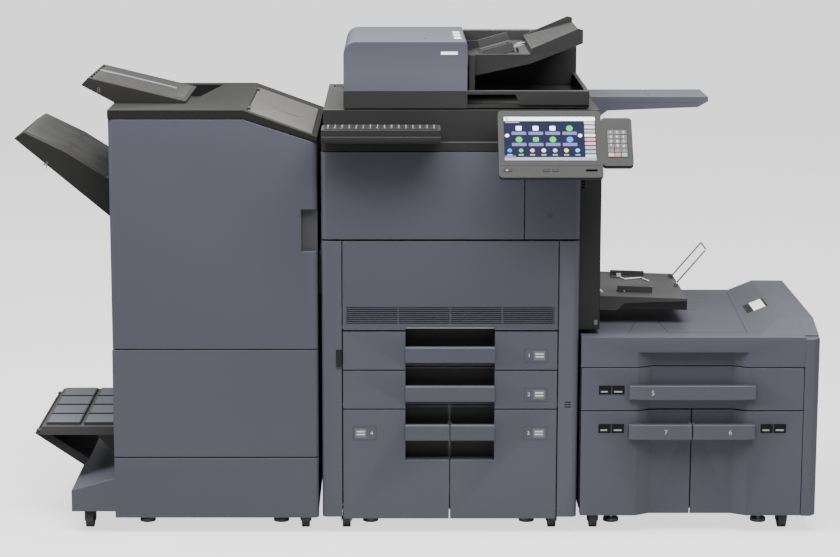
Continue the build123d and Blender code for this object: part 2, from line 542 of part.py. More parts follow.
SLOPE_X0 = FEED_RIGHT + 3.0
SLOPE_Z0 = ADF_TOP + 57.0
SLOPE_RISE = 0.28
TRAY_TIP_X = FEED_RIGHT + 285.0
with BuildPart() as document_tray:
    front_profile([(SLOPE_X0, ADF_TOP + 31), (FEED_RIGHT + 156, ADF_TOP + 64),
                   (TRAY_TIP_X, ADF_TOP + 114), (TRAY_TIP_X, ADF_TOP + 147),
                   (TRAY_TIP_X - 12, ADF_TOP + 150), (FEED_RIGHT + 158, ADF_TOP + 101),
                   (FEED_RIGHT + 156, ADF_TOP + 87), (SLOPE_X0, ADF_TOP + 87)], TRAY_FRONT, TRAY_BACK)
    reach = TRAY_TIP_X + 5 - SLOPE_X0
    front_profile([(SLOPE_X0 - 1, SLOPE_Z0), (SLOPE_X0 + reach, SLOPE_Z0 + reach * SLOPE_RISE),
                   (SLOPE_X0 + reach, SLOPE_Z0 + 120), (SLOPE_X0 - 1, SLOPE_Z0 + 120)],
                  TRAY_FRONT + 10, TRAY_BACK - 10, mode=Mode.SUBTRACT)
    for y0, y1 in ((TRAY_FRONT - 1, TRAY_FRONT + 11), (TRAY_BACK - 11, TRAY_BACK + 1)):
        rod_y(TRAY_PIVOT_X, TRAY_PIVOT_Z, TRAY_PIN_R + SPIN, y0, y1, Mode.SUBTRACT)
keep("document_tray", document_tray)

GUIDE_L = 80.0
GUIDE_H = 24.0
GUIDE_FOOT = 30.0
GUIDE_TRAVEL = 90.0
GUIDES_SHUT = 92.0      # between the guides when they are pushed together
GUIDE_Y = [(TRAY_FRONT + TRAY_BACK) / 2 + side * (GUIDES_SHUT / 2 + GUIDE_TRAVEL) for side in (-1, 1)]
slope_plane = Plane(origin=(SLOPE_X0 + 40, 0, SLOPE_Z0 + 41 * SLOPE_RISE + FIT),
                    x_dir=(1, 0, SLOPE_RISE), z_dir=(-SLOPE_RISE, 0, 1))
for name, y, toward in (("front_document_guide", GUIDE_Y[0], 1), ("rear_document_guide", GUIDE_Y[1], -1)):
    with BuildPart() as document_guide:
        with Locations(slope_plane.location):
            with Locations((0, y, 0)):
                Box(GUIDE_L, 3, GUIDE_H, align=(Align.MIN, Align.CENTER, Align.MIN))
            with Locations((0, y + toward * GUIDE_FOOT / 2, 0)):
                Box(GUIDE_L, GUIDE_FOOT, 2, align=(Align.MIN, Align.CENTER, Align.MIN))
    keep(name, document_guide)

# ---- operation panel on its tilting arm, display, keys and keypad ----
PANEL_T = 12.0
PANEL_BACK_T = 26.0
PANEL_Y = -150.0
PANEL_Z = LIP_TOP - 63.0
PANEL_STEEP = 90.0 - PANEL_TILT
SCREEN_W = 222.0
SCREEN_H = 125.0
SCREEN_UP = 48.0
SCREEN_T = 2.0
KEY_TRAVEL = 1.5
KEY_SINK = 2.0
KEY_RISE = 1.6
STRIP_UP = 20.0
STRIP_KEYS = ((22.0, 9.0), (113.0, 7.0), (135.0, 7.0))
panel_plane = Plane(origin=(PANEL_LEFT, PANEL_Y, PANEL_Z), x_dir=(1, 0, 0),
                    z_dir=Vector(0, -1, 0).rotate(Axis.X, -PANEL_STEEP))
PIVOT_UP = 106.0
PIVOT_BEHIND = 42.0
PIVOT_R = 5.0
pivot = panel_plane.from_local_coords(Vector(0, PIVOT_UP, -PIVOT_BEHIND))
ARM_X = (88.0, 168.0)   # the two ears behind the panel, from its left edge
EAR_W = 12.0


def panel_box(x0, x1, y0, y1, z0, z1, mode=Mode.ADD):
    """A box in the panel's own frame: across, up the slope, and out of the screen."""
    with Locations(panel_plane.location):
        with Locations((x0, y0, z0)):
            Box(x1 - x0, y1 - y0, z1 - z0, align=(Align.MIN, Align.MIN, Align.MIN), mode=mode)


def key_group(columns, rows, x0, y0, pitch_x, pitch_y, width, height, sink, rise):
    """A group of separate keys standing in a pocket of the panel's frame."""
    for column in range(columns):
        for row in range(rows):
            x = x0 + column * pitch_x
            y = y0 + row * pitch_y
            panel_box(x, x + width, y, y + height, -sink, rise)


KEYPAD_UP = 33.0
KEYPAD_T = 14.0
PAD_KEY = (15.0, 12.0)
PAD_GAP = 0.9
PAD_COLUMNS = 3
PAD_ROWS = 6
PAD_X0 = PANEL_W + (KEYPAD_W - PAD_COLUMNS * (PAD_KEY[0] + PAD_GAP) + PAD_GAP) / 2
PAD_Y0 = KEYPAD_UP + 24.0
PAD_ACROSS = PAD_COLUMNS * (PAD_KEY[0] + PAD_GAP) - PAD_GAP
PAD_ALONG = PAD_ROWS * (PAD_KEY[1] + PAD_GAP) - PAD_GAP

with BuildPart() as operation_panel:
    with BuildSketch(panel_plane) as face:
        with Locations((PANEL_W / 2, PANEL_L / 2)):
            RectangleRounded(PANEL_W, PANEL_L, 10)
    extrude(amount=-PANEL_T)
    with BuildSketch(panel_plane) as pad_face:
        with Locations((PANEL_W + KEYPAD_W / 2, KEYPAD_UP + KEYPAD_L / 2)):
            RectangleRounded(KEYPAD_W, KEYPAD_L, 9)
    extrude(amount=-KEYPAD_T)
    panel_box(PAD_X0 - FIT, PAD_X0 + PAD_ACROSS + FIT, PAD_Y0 - FIT, PAD_Y0 + PAD_ALONG + FIT,
              -KEY_SINK - KEY_TRAVEL - FIT, 1, Mode.SUBTRACT)
    panel_box(14, PANEL_W - 14, 42, PANEL_L - 20, -PANEL_BACK_T, -PANEL_T)
    for x in ARM_X:
        panel_box(x, x + EAR_W, PIVOT_UP - 12, PIVOT_UP + 12, -PIVOT_BEHIND - 10, -PANEL_BACK_T)
    left = (PANEL_W - SCREEN_W) / 2
    panel_box(left, left + SCREEN_W, SCREEN_UP, SCREEN_UP + SCREEN_H, -SCREEN_T, 1, Mode.SUBTRACT)
    for x, half in STRIP_KEYS:
        panel_box(x - half - FIT, x + half + FIT, STRIP_UP - 4 - FIT, STRIP_UP + 4 + FIT,
                  -KEY_SINK - KEY_TRAVEL - FIT, 1, Mode.SUBTRACT)
    panel_box(PANEL_W - 42, PANEL_W - 14, STRIP_UP - 3, STRIP_UP + 3, -8, 1, Mode.SUBTRACT)
    rod_x(pivot.Y, pivot.Z, PIVOT_R + SPIN, PANEL_LEFT, PANEL_LEFT + PANEL_W, Mode.SUBTRACT)
keep("operation_panel", operation_panel)

with BuildPart() as display:
    panel_box(left, left + SCREEN_W, SCREEN_UP, SCREEN_UP + SCREEN_H, -SCREEN_T, -0.5)
keep("display", display)

with BuildPart() as panel_keys:
    for x, half in STRIP_KEYS:
        panel_box(x - half, x + half, STRIP_UP - 4, STRIP_UP + 4, -KEY_SINK, 1.0)
keep("panel_keys", panel_keys)

with BuildPart() as keypad_keys:
    key_group(PAD_COLUMNS, PAD_ROWS, PAD_X0, PAD_Y0, PAD_KEY[0] + PAD_GAP, PAD_KEY[1] + PAD_GAP,
              PAD_KEY[0], PAD_KEY[1], KEY_SINK, KEY_RISE)
keep("keypad_keys", keypad_keys)

with BuildPart() as panel_arm:
    a0 = PANEL_LEFT + ARM_X[0] + EAR_W + 1
    a1 = PANEL_LEFT + ARM_X[1] - 1
    rod_x(pivot.Y, pivot.Z, 10, a0, a1)
    block(a0, a1, pivot.Y, 0, max(pivot.Z - 9, Z_BODY + 2), pivot.Z + 9)
    rod_x(pivot.Y, pivot.Z, PIVOT_R, a0 - EAR_W - 3, a1 + EAR_W + 3)
keep("panel_arm", panel_arm)

# ---- keyboard on its holder ----
HOLDER_Z = LIP_TOP + 10.0
HOLDER_T = 18.0
KEYBOARD_LEFT = -HALF_W + 4.0
KEYBOARD_T = 16.0
KEY_COLUMNS = 16
KEY_ROWS = 5
KEY_GAP = 0.9
KEY_BORDER = 7.0
key_pitch_x = (KEYBOARD_W - 2 * KEY_BORDER + KEY_GAP) / KEY_COLUMNS
key_pitch_y = (KEYBOARD_D - 4 - 2 * KEY_BORDER + KEY_GAP) / KEY_ROWS
KEYS_Z = HOLDER_Z + HOLDER_T + KEYBOARD_T

with BuildPart() as keyboard_holder:
    block(KEYBOARD_LEFT, KEYBOARD_LEFT + KEYBOARD_W, -KEYBOARD_D, SCAN_FACE_Y, HOLDER_Z,
          HOLDER_Z + HOLDER_T)
    front_low = keyboard_holder.edges().filter_by(Axis.X).group_by(Axis.Y)[0].sort_by(Axis.Z)[0]
    fillet(front_low, 10)
    block(KEYBOARD_LEFT + 12, KEYBOARD_LEFT + KEYBOARD_W - 12, -30, SCAN_FACE_Y - 6, HOLDER_Z - 1,
          HOLDER_Z + HOLDER_T - 4, mode=Mode.SUBTRACT)
    block(KEYBOARD_LEFT + 20, KEYBOARD_LEFT + 60, 2, SCAN_FACE_Y, LIP_TOP, HOLDER_Z)
    block(KEYBOARD_LEFT + KEYBOARD_W - 60, KEYBOARD_LEFT + KEYBOARD_W - 20, 2, SCAN_FACE_Y, LIP_TOP,
          HOLDER_Z)
keep("keyboard_holder", keyboard_holder)

with BuildPart() as keyboard:
    block(KEYBOARD_LEFT, KEYBOARD_LEFT + KEYBOARD_W, -KEYBOARD_D + 2, -2, HOLDER_Z + HOLDER_T, KEYS_Z)
    fillet(keyboard.edges().filter_by(Axis.Z), 6)
    block(KEYBOARD_LEFT + KEY_BORDER - FIT, KEYBOARD_LEFT + KEYBOARD_W - KEY_BORDER + FIT,
          -KEYBOARD_D + 2 + KEY_BORDER - FIT, -2 - KEY_BORDER + FIT, KEYS_Z - 6, KEYS_Z + 1,
          mode=Mode.SUBTRACT)
keep("keyboard", keyboard)

with BuildPart() as keyboard_keys:
    for column in range(KEY_COLUMNS):
        for row in range(KEY_ROWS):
            if row == 0 and 5 < column < 11:
                continue
            x = KEYBOARD_LEFT + KEY_BORDER + column * key_pitch_x
            y = -KEYBOARD_D + 2 + KEY_BORDER + row * key_pitch_y
            last = column + 5 if row == 0 and column == 5 else column
            block(x, x + (last - column + 1) * key_pitch_x - KEY_GAP, y, y + key_pitch_y - KEY_GAP,
                  KEYS_Z - 3, KEYS_Z + 2)
keep("keyboard_keys", keyboard_keys)

# ---- document table on the right of the scanner ----
TABLE_Y = (280.0, 445.0)
TABLE_RIGHT = SCAN_RIGHT + 302.0
TABLE_T = 27.0
TABLE_TOP = Z_SCAN + 2.0
with BuildPart() as document_table:
    front_profile([(SCAN_RIGHT, TABLE_TOP), (SCAN_RIGHT, TABLE_TOP - 61), (SCAN_RIGHT + 12, TABLE_TOP - 61),
                   (SCAN_RIGHT + 44, TABLE_TOP - 36), (TABLE_RIGHT - 26, TABLE_TOP - TABLE_T),
                   (TABLE_RIGHT, TABLE_TOP - 12), (TABLE_RIGHT, TABLE_TOP)], TABLE_Y[0], TABLE_Y[1])
    block(SCAN_RIGHT + 150, SCAN_RIGHT + 153, TABLE_Y[0] - 1, TABLE_Y[1] + 1, TABLE_TOP - 1.5,
          TABLE_TOP + 1, mode=Mode.SUBTRACT)
    block(SCAN_RIGHT + 60, TABLE_RIGHT - 30, TABLE_Y[0] + 4, TABLE_Y[1] - 4, TABLE_TOP - 60,
          TABLE_TOP - 5, mode=Mode.SUBTRACT)
keep("document_table", document_table)

# ---- tower on the right side, with a pocket that the bypass tray folds into ----
TOWER_RIGHT = HALF_W + TOWER_W
TOWER_Y = (40.0, 560.0)
BYPASS_Y = (161.0, 490.0)
BYPASS_PIVOT_X = TOWER_RIGHT - 6.0
BYPASS_PIVOT_Z = 578.0
BYPASS_REACH = 239.0
BYPASS_PIN_R = 4.0
with BuildPart() as tower_cover:
    block(HALF_W, TOWER_RIGHT, TOWER_Y[0], TOWER_Y[1], TOWER_Z, Z_BODY)
    fillet(tower_cover.edges().filter_by(Axis.Z).group_by(Axis.X)[-1], 6)
    block(HALF_W + 4, TOWER_RIGHT - 34, TOWER_Y[0] + 4, TOWER_Y[1] - 4, TOWER_Z + 4, Z_BODY - 4,
          mode=Mode.SUBTRACT)
    block(TOWER_RIGHT - 30, TOWER_RIGHT + 1, BYPASS_Y[0] - 8, BYPASS_Y[1] + 8, TOWER_Z + 18,
          TOWER_Z + 412, mode=Mode.SUBTRACT)
    for y0, y1 in ((BYPASS_Y[0] - 9, BYPASS_Y[0] + 16), (BYPASS_Y[1] - 16, BYPASS_Y[1] + 9)):
        rod_y(BYPASS_PIVOT_X, BYPASS_PIVOT_Z, BYPASS_PIN_R, y0, y1)
    for k in range(9):
        z = Z_BODY - 100 + k * 8
        block(HALF_W + 5, HALF_W + 13, TOWER_Y[0] - 1, TOWER_Y[0] + 5, z, z + 4, mode=Mode.SUBTRACT)
keep("tower_cover", tower_cover)

# ---- bypass tray with two guides and a wire extension ----
BYPASS_T = 12.0
BYPASS_FALL = 8.0
WIRE_R = 2.0
WIRE_Y = (330.0, 430.0)
WIRE_FOOT = 14.0
WIRE_X = BYPASS_PIVOT_X + BYPASS_REACH - 10.0
WIRE_Z = BYPASS_PIVOT_Z - BYPASS_FALL + WIRE_R + 2.0
with BuildPart() as bypass_tray:
    front_profile([(BYPASS_PIVOT_X, BYPASS_PIVOT_Z), (BYPASS_PIVOT_X, BYPASS_PIVOT_Z - 36),
                   (BYPASS_PIVOT_X + 60, BYPASS_PIVOT_Z - 38), (BYPASS_PIVOT_X + 80, BYPASS_PIVOT_Z - BYPASS_T - 8),
                   (BYPASS_PIVOT_X + BYPASS_REACH, BYPASS_PIVOT_Z - 8 - BYPASS_T / 2),
                   (BYPASS_PIVOT_X + BYPASS_REACH, BYPASS_PIVOT_Z - BYPASS_FALL)], BYPASS_Y[0], BYPASS_Y[1])
    block(BYPASS_PIVOT_X + 6, BYPASS_PIVOT_X + 56, BYPASS_Y[0] + 6, BYPASS_Y[1] - 6,
          BYPASS_PIVOT_Z - 60, BYPASS_PIVOT_Z - 10, mode=Mode.SUBTRACT)
    for y0, y1 in ((BYPASS_Y[0], BYPASS_Y[0] + 20), (BYPASS_Y[1] - 20, BYPASS_Y[1])):
        rod_y(BYPASS_PIVOT_X, BYPASS_PIVOT_Z, BYPASS_PIN_R + 4, y0, y1)
        rod_y(BYPASS_PIVOT_X, BYPASS_PIVOT_Z, BYPASS_PIN_R + SPIN, y0 - 1, y1 + 1, Mode.SUBTRACT)
    for y in (WIRE_Y[0] - WIRE_FOOT, WIRE_Y[1] + WIRE_FOOT - 8):
        block(WIRE_X - 5, WIRE_X + 5, y, y + 8, WIRE_Z - 6, WIRE_Z + 4)
        rod_y(WIRE_X, WIRE_Z, WIRE_R + SPIN, y - 1, y + 9, Mode.SUBTRACT)
keep("bypass_tray", bypass_tray)

BYPASS_GUIDE_TRAVEL = 70.0
BYPASS_GUIDES_SHUT = 69.0
BYPASS_GUIDE_Y = [sum(BYPASS_Y) / 2 + side * (BYPASS_GUIDES_SHUT / 2 + BYPASS_GUIDE_TRAVEL)
                  for side in (-1, 1)]
fall = BYPASS_FALL / BYPASS_REACH
bypass_plane = Plane(origin=(BYPASS_PIVOT_X + 66, 0, BYPASS_PIVOT_Z - 66 * fall + FIT),
                     x_dir=(1, 0, -fall), z_dir=(fall, 0, 1))
for name, y, toward in (("front_bypass_guide", BYPASS_GUIDE_Y[0], 1),
                        ("rear_bypass_guide", BYPASS_GUIDE_Y[1], -1)):
    with BuildPart() as bypass_guide:
        with Locations(bypass_plane.location):
            with Locations((0, y, 0)):
                Box(90, 3, 16, align=(Align.MIN, Align.CENTER, Align.MIN))
            with Locations((0, y + toward * 13, 0)):
                Box(60, 26, 2, align=(Align.MIN, Align.CENTER, Align.MIN))
    keep(name, bypass_guide)

with BuildPart() as bypass_extension:
    with BuildLine() as wire_path:
        FilletPolyline((WIRE_X, WIRE_Y[0] - WIRE_FOOT, WIRE_Z), (WIRE_X, WIRE_Y[0], WIRE_Z),
                       (WIRE_X + 78, WIRE_Y[0], WIRE_Z + 92), (WIRE_X + 78, WIRE_Y[1], WIRE_Z + 92),
                       (WIRE_X, WIRE_Y[1], WIRE_Z), (WIRE_X, WIRE_Y[1] + WIRE_FOOT, WIRE_Z), radius=5)
    with BuildSketch(Plane(origin=wire_path.line @ 0, z_dir=wire_path.line % 0)):
        Circle(WIRE_R)
    sweep()
keep("bypass_extension", bypass_extension)

# ---- finisher: cabinet, door, lower covers, top deck with its lid, trays ----
FIN_INNER_TOP = 985.0
KINK_X = FIN_RIGHT - 181.0
DECK_LEFT_Z = FIN_H + 22.0
DECK_RIGHT_Z = FIN_INNER_TOP + 23.0
BAND_T = 20.0
FIN_BACK = FIN_D
SLOT_Y = (180.0, 400.0)
SLOT_W = 16.0
TRAY_A_TOP = 1007.0
HOOK_Z = (TRAY_A_TOP - 200.0, TRAY_A_TOP - 150.0)
SLOT_Z = (HOOK_Z[0] - TRAY_A_TRAVEL - 32.0, HOOK_Z[1] + 18.0)
HOOK_T = 8.0
EXIT_Z = (905.0, 960.0)
EJECT_X = FIN_LEFT + 34.0
EJECT_Z = 930.0
EJECT_R = 12.0

with BuildPart() as finisher_cabinet:
    block(FIN_LEFT, FIN_RIGHT, FRAME_Y0, FIN_BACK, FLOOR_Z, FIN_INNER_TOP)
    block(FIN_LEFT + SHEET, FIN_RIGHT - SHEET, FRAME_Y0 - 1, FIN_BACK - SHEET, FLOOR_Z + SHEET,
          FIN_INNER_TOP - SHEET, mode=Mode.SUBTRACT)
    block(FIN_LEFT + SHEET, FIN_RIGHT - SHEET, FRAME_Y0, FIN_BACK, FIN_DOOR_Z - 8, FIN_DOOR_Z - 2)
    for y in SLOT_Y:
        block(FIN_LEFT - 1, FIN_LEFT + SHEET + 1, y - SLOT_W / 2, y + SLOT_W / 2, SLOT_Z[0], SLOT_Z[1],
              mode=Mode.SUBTRACT)
    block(FIN_LEFT - 1, FIN_LEFT + SHEET + 1, 130, 470, EXIT_Z[0], EXIT_Z[1], mode=Mode.SUBTRACT)
    for y in (110.0, 484.0):
        block(FIN_LEFT + SHEET, EJECT_X + 16, y, y + SHEET, EJECT_Z - 20, FIN_INNER_TOP - SHEET)
        rod_y(EJECT_X, EJECT_Z, SHAFT_R + SPIN, y - 1, y + SHEET + 1, Mode.SUBTRACT)
    block(FIN_RIGHT, -HALF_W, 80, 560, 600, 700)
    block(FIN_RIGHT - SHEET - 1, -HALF_W + 1, 90, 550, 615, 685, mode=Mode.SUBTRACT)
keep("finisher_cabinet", finisher_cabinet)

with BuildPart() as eject_roller:
    rod_y(EJECT_X, EJECT_Z, SHAFT_R, 104, 496)
    for y in (160, 280, 400):
        rod_y(EJECT_X, EJECT_Z, EJECT_R, y, y + 30)
keep("eject_roller", eject_roller)

GRIP_Z = (722.0, 828.0)
DOOR_HINGE_X = FIN_LEFT + 8.0
DOOR_PIN_L = 12.0


def door_pin(z0, z1, radius, mode=Mode.ADD):
    """A length of the finisher door's upright hinge pin, or its bore."""
    with Locations((DOOR_HINGE_X, HINGE_Y, z0)):
        Cylinder(radius, z1 - z0, align=(Align.CENTER, Align.CENTER, Align.MIN), mode=mode)


with BuildPart() as finisher_door:
    front_profile([(FIN_LEFT, FIN_DOOR_Z + SEAM / 2), (FIN_RIGHT, FIN_DOOR_Z + SEAM / 2),
                   (FIN_RIGHT, DECK_RIGHT_Z - BAND_T + 4), (KINK_X, FIN_H - 1), (FIN_LEFT, FIN_H - 1)],
                  0, HINGED_T)
    round_front_corners(finisher_door, [FIN_LEFT, FIN_RIGHT], 0, ROUND)
    block(FIN_LEFT + ROUND, FIN_RIGHT - 44, SKIN, HINGED_T + 1, FIN_DOOR_Z + 16, DECK_RIGHT_Z - 30,
          mode=Mode.SUBTRACT)
    block(FIN_RIGHT - 40, FIN_RIGHT + 1, -1, HINGED_T - 3, GRIP_Z[0], GRIP_Z[1], mode=Mode.SUBTRACT)
    door_pin(FIN_H - 1 - DOOR_PIN_L, FIN_H, HINGE_R + SPIN, Mode.SUBTRACT)
    door_pin(FIN_DOOR_Z, FIN_DOOR_Z + SEAM / 2 + DOOR_PIN_L, HINGE_R + SPIN, Mode.SUBTRACT)
keep("finisher_door", finisher_door)

with BuildPart() as finisher_lower_covers:
    for low, high in ((FIN_LOWER_H + SEAM / 2, FIN_DOOR_Z - SEAM / 2),
                      (FIN_BASE_Z, FIN_LOWER_H - SEAM / 2)):
        block(FIN_LEFT, FIN_RIGHT, 0, FRAME_Y0, low, high)
        round_front_corners(finisher_lower_covers, [FIN_RIGHT], 0, ROUND)
        block(FIN_LEFT + 14, FIN_RIGHT - ROUND, SKIN, FRAME_Y0 + 1, low + 12, high - 12,
              mode=Mode.SUBTRACT)
    front_profile([(FIN_LEFT, FLOOR_Z), (FIN_LEFT - 110, FLOOR_Z), (FIN_LEFT - 110, FLOOR_Z + 55),
                   (FIN_LEFT, FLOOR_Z + 86)], 0, FIN_BACK - 20)
    block(FIN_LEFT - 106, FIN_LEFT - 4, 4, FIN_BACK - 24, FLOOR_Z + 6, FLOOR_Z + 48, mode=Mode.SUBTRACT)
    door_pin(FIN_DOOR_Z - 8, FIN_DOOR_Z + DOOR_PIN_L, HINGE_R)
keep("finisher_lower_covers", finisher_lower_covers)

LID_T = 8.0
LID_Y = (30.0, 520.0)
slope_fall = (DECK_LEFT_Z - DECK_RIGHT_Z) / (FIN_RIGHT - KINK_X)


def deck_height(x):
    """Height of the finisher's top surface at a place across it."""
    return DECK_LEFT_Z - max(0.0, x - KINK_X) * slope_fall


WELL = ((FIN_LEFT + 42, FIN_BACK - 300), (FIN_LEFT + 199, FIN_BACK - 350), (FIN_LEFT + 245, FIN_BACK - 45),
        (FIN_LEFT + 62, FIN_BACK - 45))     # the recess behind tray B, seen from above
WELL_DEPTH = 34.0
LID_HINGE_X = KINK_X + 11.0
LID_HINGE_Z = deck_height(LID_HINGE_X)
LID_HINGE_Y = (LID_Y[0] + 30.0, LID_Y[1] - 60.0)

with BuildPart() as finisher_top_deck:
    front_profile([(FIN_LEFT, FIN_INNER_TOP), (FIN_LEFT, DECK_LEFT_Z), (KINK_X, DECK_LEFT_Z),
                   (FIN_RIGHT, DECK_RIGHT_Z), (FIN_RIGHT, FIN_INNER_TOP)], FRAME_Y0, FIN_BACK)
    front_profile([(FIN_LEFT + 6, FIN_INNER_TOP - 1), (FIN_LEFT + 6, DECK_LEFT_Z - 16),
                   (KINK_X, DECK_LEFT_Z - 16), (FIN_RIGHT - 40, FIN_INNER_TOP + 6),
                   (FIN_RIGHT - 40, FIN_INNER_TOP - 1)], FRAME_Y0 + 6, FIN_BACK - 6, mode=Mode.SUBTRACT)
    block(WELL[0][0] - SKIN, WELL[2][0] + SKIN, WELL[1][1] - SKIN, WELL[2][1] + SKIN,
          DECK_LEFT_Z - WELL_DEPTH - SKIN, DECK_LEFT_Z - SKIN)
    plan_profile(WELL, DECK_LEFT_Z - WELL_DEPTH, DECK_LEFT_Z + 1, Mode.SUBTRACT)
    front_profile([(FIN_LEFT, FIN_H + 1), (FIN_LEFT, DECK_LEFT_Z), (KINK_X, DECK_LEFT_Z),
                   (FIN_RIGHT, DECK_RIGHT_Z), (FIN_RIGHT, DECK_RIGHT_Z - BAND_T + 7),
                   (KINK_X, FIN_H + 1)], 0, FRAME_Y0 + 1)
    x0, x1 = KINK_X + 10, FIN_RIGHT - 12
    front_profile([(x0, deck_height(x0) - LID_T - SEAT), (x1, deck_height(x1) - LID_T - SEAT),
                   (x1, deck_height(x1) + 50), (x0, deck_height(x0) + 50)], LID_Y[0], LID_Y[1],
                  mode=Mode.SUBTRACT)
    door_pin(FIN_H - DOOR_PIN_L, FIN_H + 2, HINGE_R)
    for y in LID_HINGE_Y:
        knuckle(LID_HINGE_X, LID_HINGE_Z, y, KNUCKLE_R + FIT, Mode.SUBTRACT)
        knuckle_holders(LID_HINGE_X, LID_HINGE_Z, y, KNUCKLE_R)
keep("finisher_top_deck", finisher_top_deck)

with BuildPart() as finisher_lid:
    x0, x1 = LID_HINGE_X, FIN_RIGHT - 13
    front_profile([(x0, deck_height(x0) - LID_T), (x1, deck_height(x1) - LID_T), (x1, deck_height(x1)),
                   (x0, deck_height(x0))], LID_Y[0] + 1, LID_Y[1] - 1)
    for y in LID_HINGE_Y:
        knuckle_holders(LID_HINGE_X, LID_HINGE_Z, y, KNUCKLE_R + FIT, Mode.SUBTRACT)
        knuckle(LID_HINGE_X, LID_HINGE_Z, y, KNUCKLE_R)
        knuckle(LID_HINGE_X, LID_HINGE_Z, y, KNUCKLE_PIN_R + SPIN, Mode.SUBTRACT)
keep("finisher_lid", finisher_lid)

TRAY_A_Y = (100.0, 480.0)
with BuildPart() as tray_a:
    x = FIN_LEFT - FIT
    reach = TRAY_A_REACH - FIT
    front_profile([(x - reach, TRAY_A_TOP - 16), (x - reach + 25, TRAY_A_TOP), (x - 118, TRAY_A_TOP - 50),
                   (x - 16, TRAY_A_TOP - 115), (x, TRAY_A_TOP - 115), (x, TRAY_A_TOP - 222)],
                  TRAY_A_Y[0], TRAY_A_Y[1])
    front_profile([(x - reach + 25, TRAY_A_TOP - 22), (x - 118, TRAY_A_TOP - 66), (x - 16, TRAY_A_TOP - 131),
                   (x - 16, TRAY_A_TOP - 250), (x - reach + 25, TRAY_A_TOP - 60)],
                  TRAY_A_Y[0] + 6, TRAY_A_Y[1] - 6, mode=Mode.SUBTRACT)
    for y in SLOT_Y:
        block(x - 20, x + 22, y - HOOK_T / 2, y + HOOK_T / 2, HOOK_Z[0], HOOK_Z[1])
keep("tray_a", tray_a)

TRAY_B_Y = (140.0, 460.0)
with BuildPart() as tray_b:
    front_profile([(FIN_LEFT - 81, DECK_LEFT_Z + 46), (FIN_LEFT - 63, DECK_LEFT_Z + 65),
                   (FIN_LEFT + 181, DECK_LEFT_Z + 6), (FIN_LEFT + 181, DECK_LEFT_Z),
                   (FIN_LEFT + 4, DECK_LEFT_Z), (FIN_LEFT - 10, DECK_LEFT_Z + 8)],
                  TRAY_B_Y[0], TRAY_B_Y[1])
    for y in range(6):
        y0 = TRAY_B_Y[0] + 24 + y * 48
        front_profile([(FIN_LEFT - 60, DECK_LEFT_Z + 52), (FIN_LEFT + 150, DECK_LEFT_Z + 10),
                       (FIN_LEFT + 150, DECK_LEFT_Z + 90), (FIN_LEFT - 60, DECK_LEFT_Z + 90)],
                      y0, y0 + 30, mode=Mode.SUBTRACT)
keep("tray_b", tray_b)

BOOKLET_Z = 250.0
BOOKLET_Y = (100.0, 500.0)
FLAP_X = FIN_LEFT - 204.0
FLAP_Z = BOOKLET_Z - 14.0
FLAP_NECK = 6.0         # keeps the corner that turns past the tray's edge clear of it
with BuildPart() as booklet_tray:
    block(FIN_LEFT - 196, FIN_LEFT, BOOKLET_Y[0], BOOKLET_Y[1], BOOKLET_Z - 22, BOOKLET_Z)
    front_profile([(FIN_LEFT, BOOKLET_Z - 22), (FIN_LEFT - 70, BOOKLET_Z - 22),
                   (FIN_LEFT, BOOKLET_Z - 100)], BOOKLET_Y[0] + 40, BOOKLET_Y[1] - 40)
    for x0, x1 in ((-186, -100), (-90, -14)):
        for k in range(4):
            y = BOOKLET_Y[0] + 16 + k * 94
            block(FIN_LEFT + x0, FIN_LEFT + x1, y, y + 84, BOOKLET_Z, BOOKLET_Z + 7)
    for y in (BOOKLET_Y[0], BOOKLET_Y[1] - 14):
        block(FLAP_X - 6, FIN_LEFT - 196, y, y + 14, FLAP_Z - 6, FLAP_Z + 6)
        rod_y(FLAP_X, FLAP_Z, 3 + SPIN, y - 1, y + 15, Mode.SUBTRACT)
keep("booklet_tray", booklet_tray)

with BuildPart() as booklet_flap:
    front_profile([(FLAP_X - 12, FLAP_Z - 8), (FLAP_X, FLAP_Z + 8), (FLAP_X + 125, FLAP_Z - 76),
                   (FLAP_X + 112, FLAP_Z - 92)], BOOKLET_Y[0] + 16, BOOKLET_Y[1] - 16)
    rod_y(FLAP_X, FLAP_Z, 3, BOOKLET_Y[0] + 1, BOOKLET_Y[1] - 1)
    block(FLAP_X + FLAP_NECK, FIN_LEFT, BOOKLET_Y[0], BOOKLET_Y[1], FLAP_Z - 8.3, FLAP_Z + 30,
          mode=Mode.SUBTRACT)
keep("booklet_flap", booklet_flap)

# ---- side feeder: cabinet, top cover, end cover, drawers 5 to 7 ----
FRONT_T = 30.0
DRAWER_5_Z = (317.0, 428.0)
DRAWER_67_Z = (44.0, 317.0)
SCOOP = 20.0
SCOOP_LEFT = FEEDER_LEFT + 141.0
SCOOP_RIGHT = FEEDER_LEFT + 419.0
SCOOP_SIDE = 36.0
SCOOP_TOP = 467.0
BAR5_X = (FEEDER_LEFT + 121.0, FEEDER_LEFT + 436.0)
BAR_PROUD = 8.0
MID_X = FEEDER_LEFT + 280.0
BAR5_Z = (347.5, 383.0)
BAR67_Z = (245.0, 283.0)
FEEDER_LEDGE = 26.0


HUMP_LEFT = FEEDER_RIGHT - 110.0
HUMP_RAMP = 64.0
HUMP_FRONT = 30.0
HUMP_TOP = FEEDER_H + 26.0
HUMP_FACET = ((HUMP_FRONT - 1, FEEDER_H), (HUMP_FRONT + 90, HUMP_TOP), (HUMP_FRONT + 90, HUMP_TOP + 1),
              (HUMP_FRONT - 1, HUMP_TOP + 1))


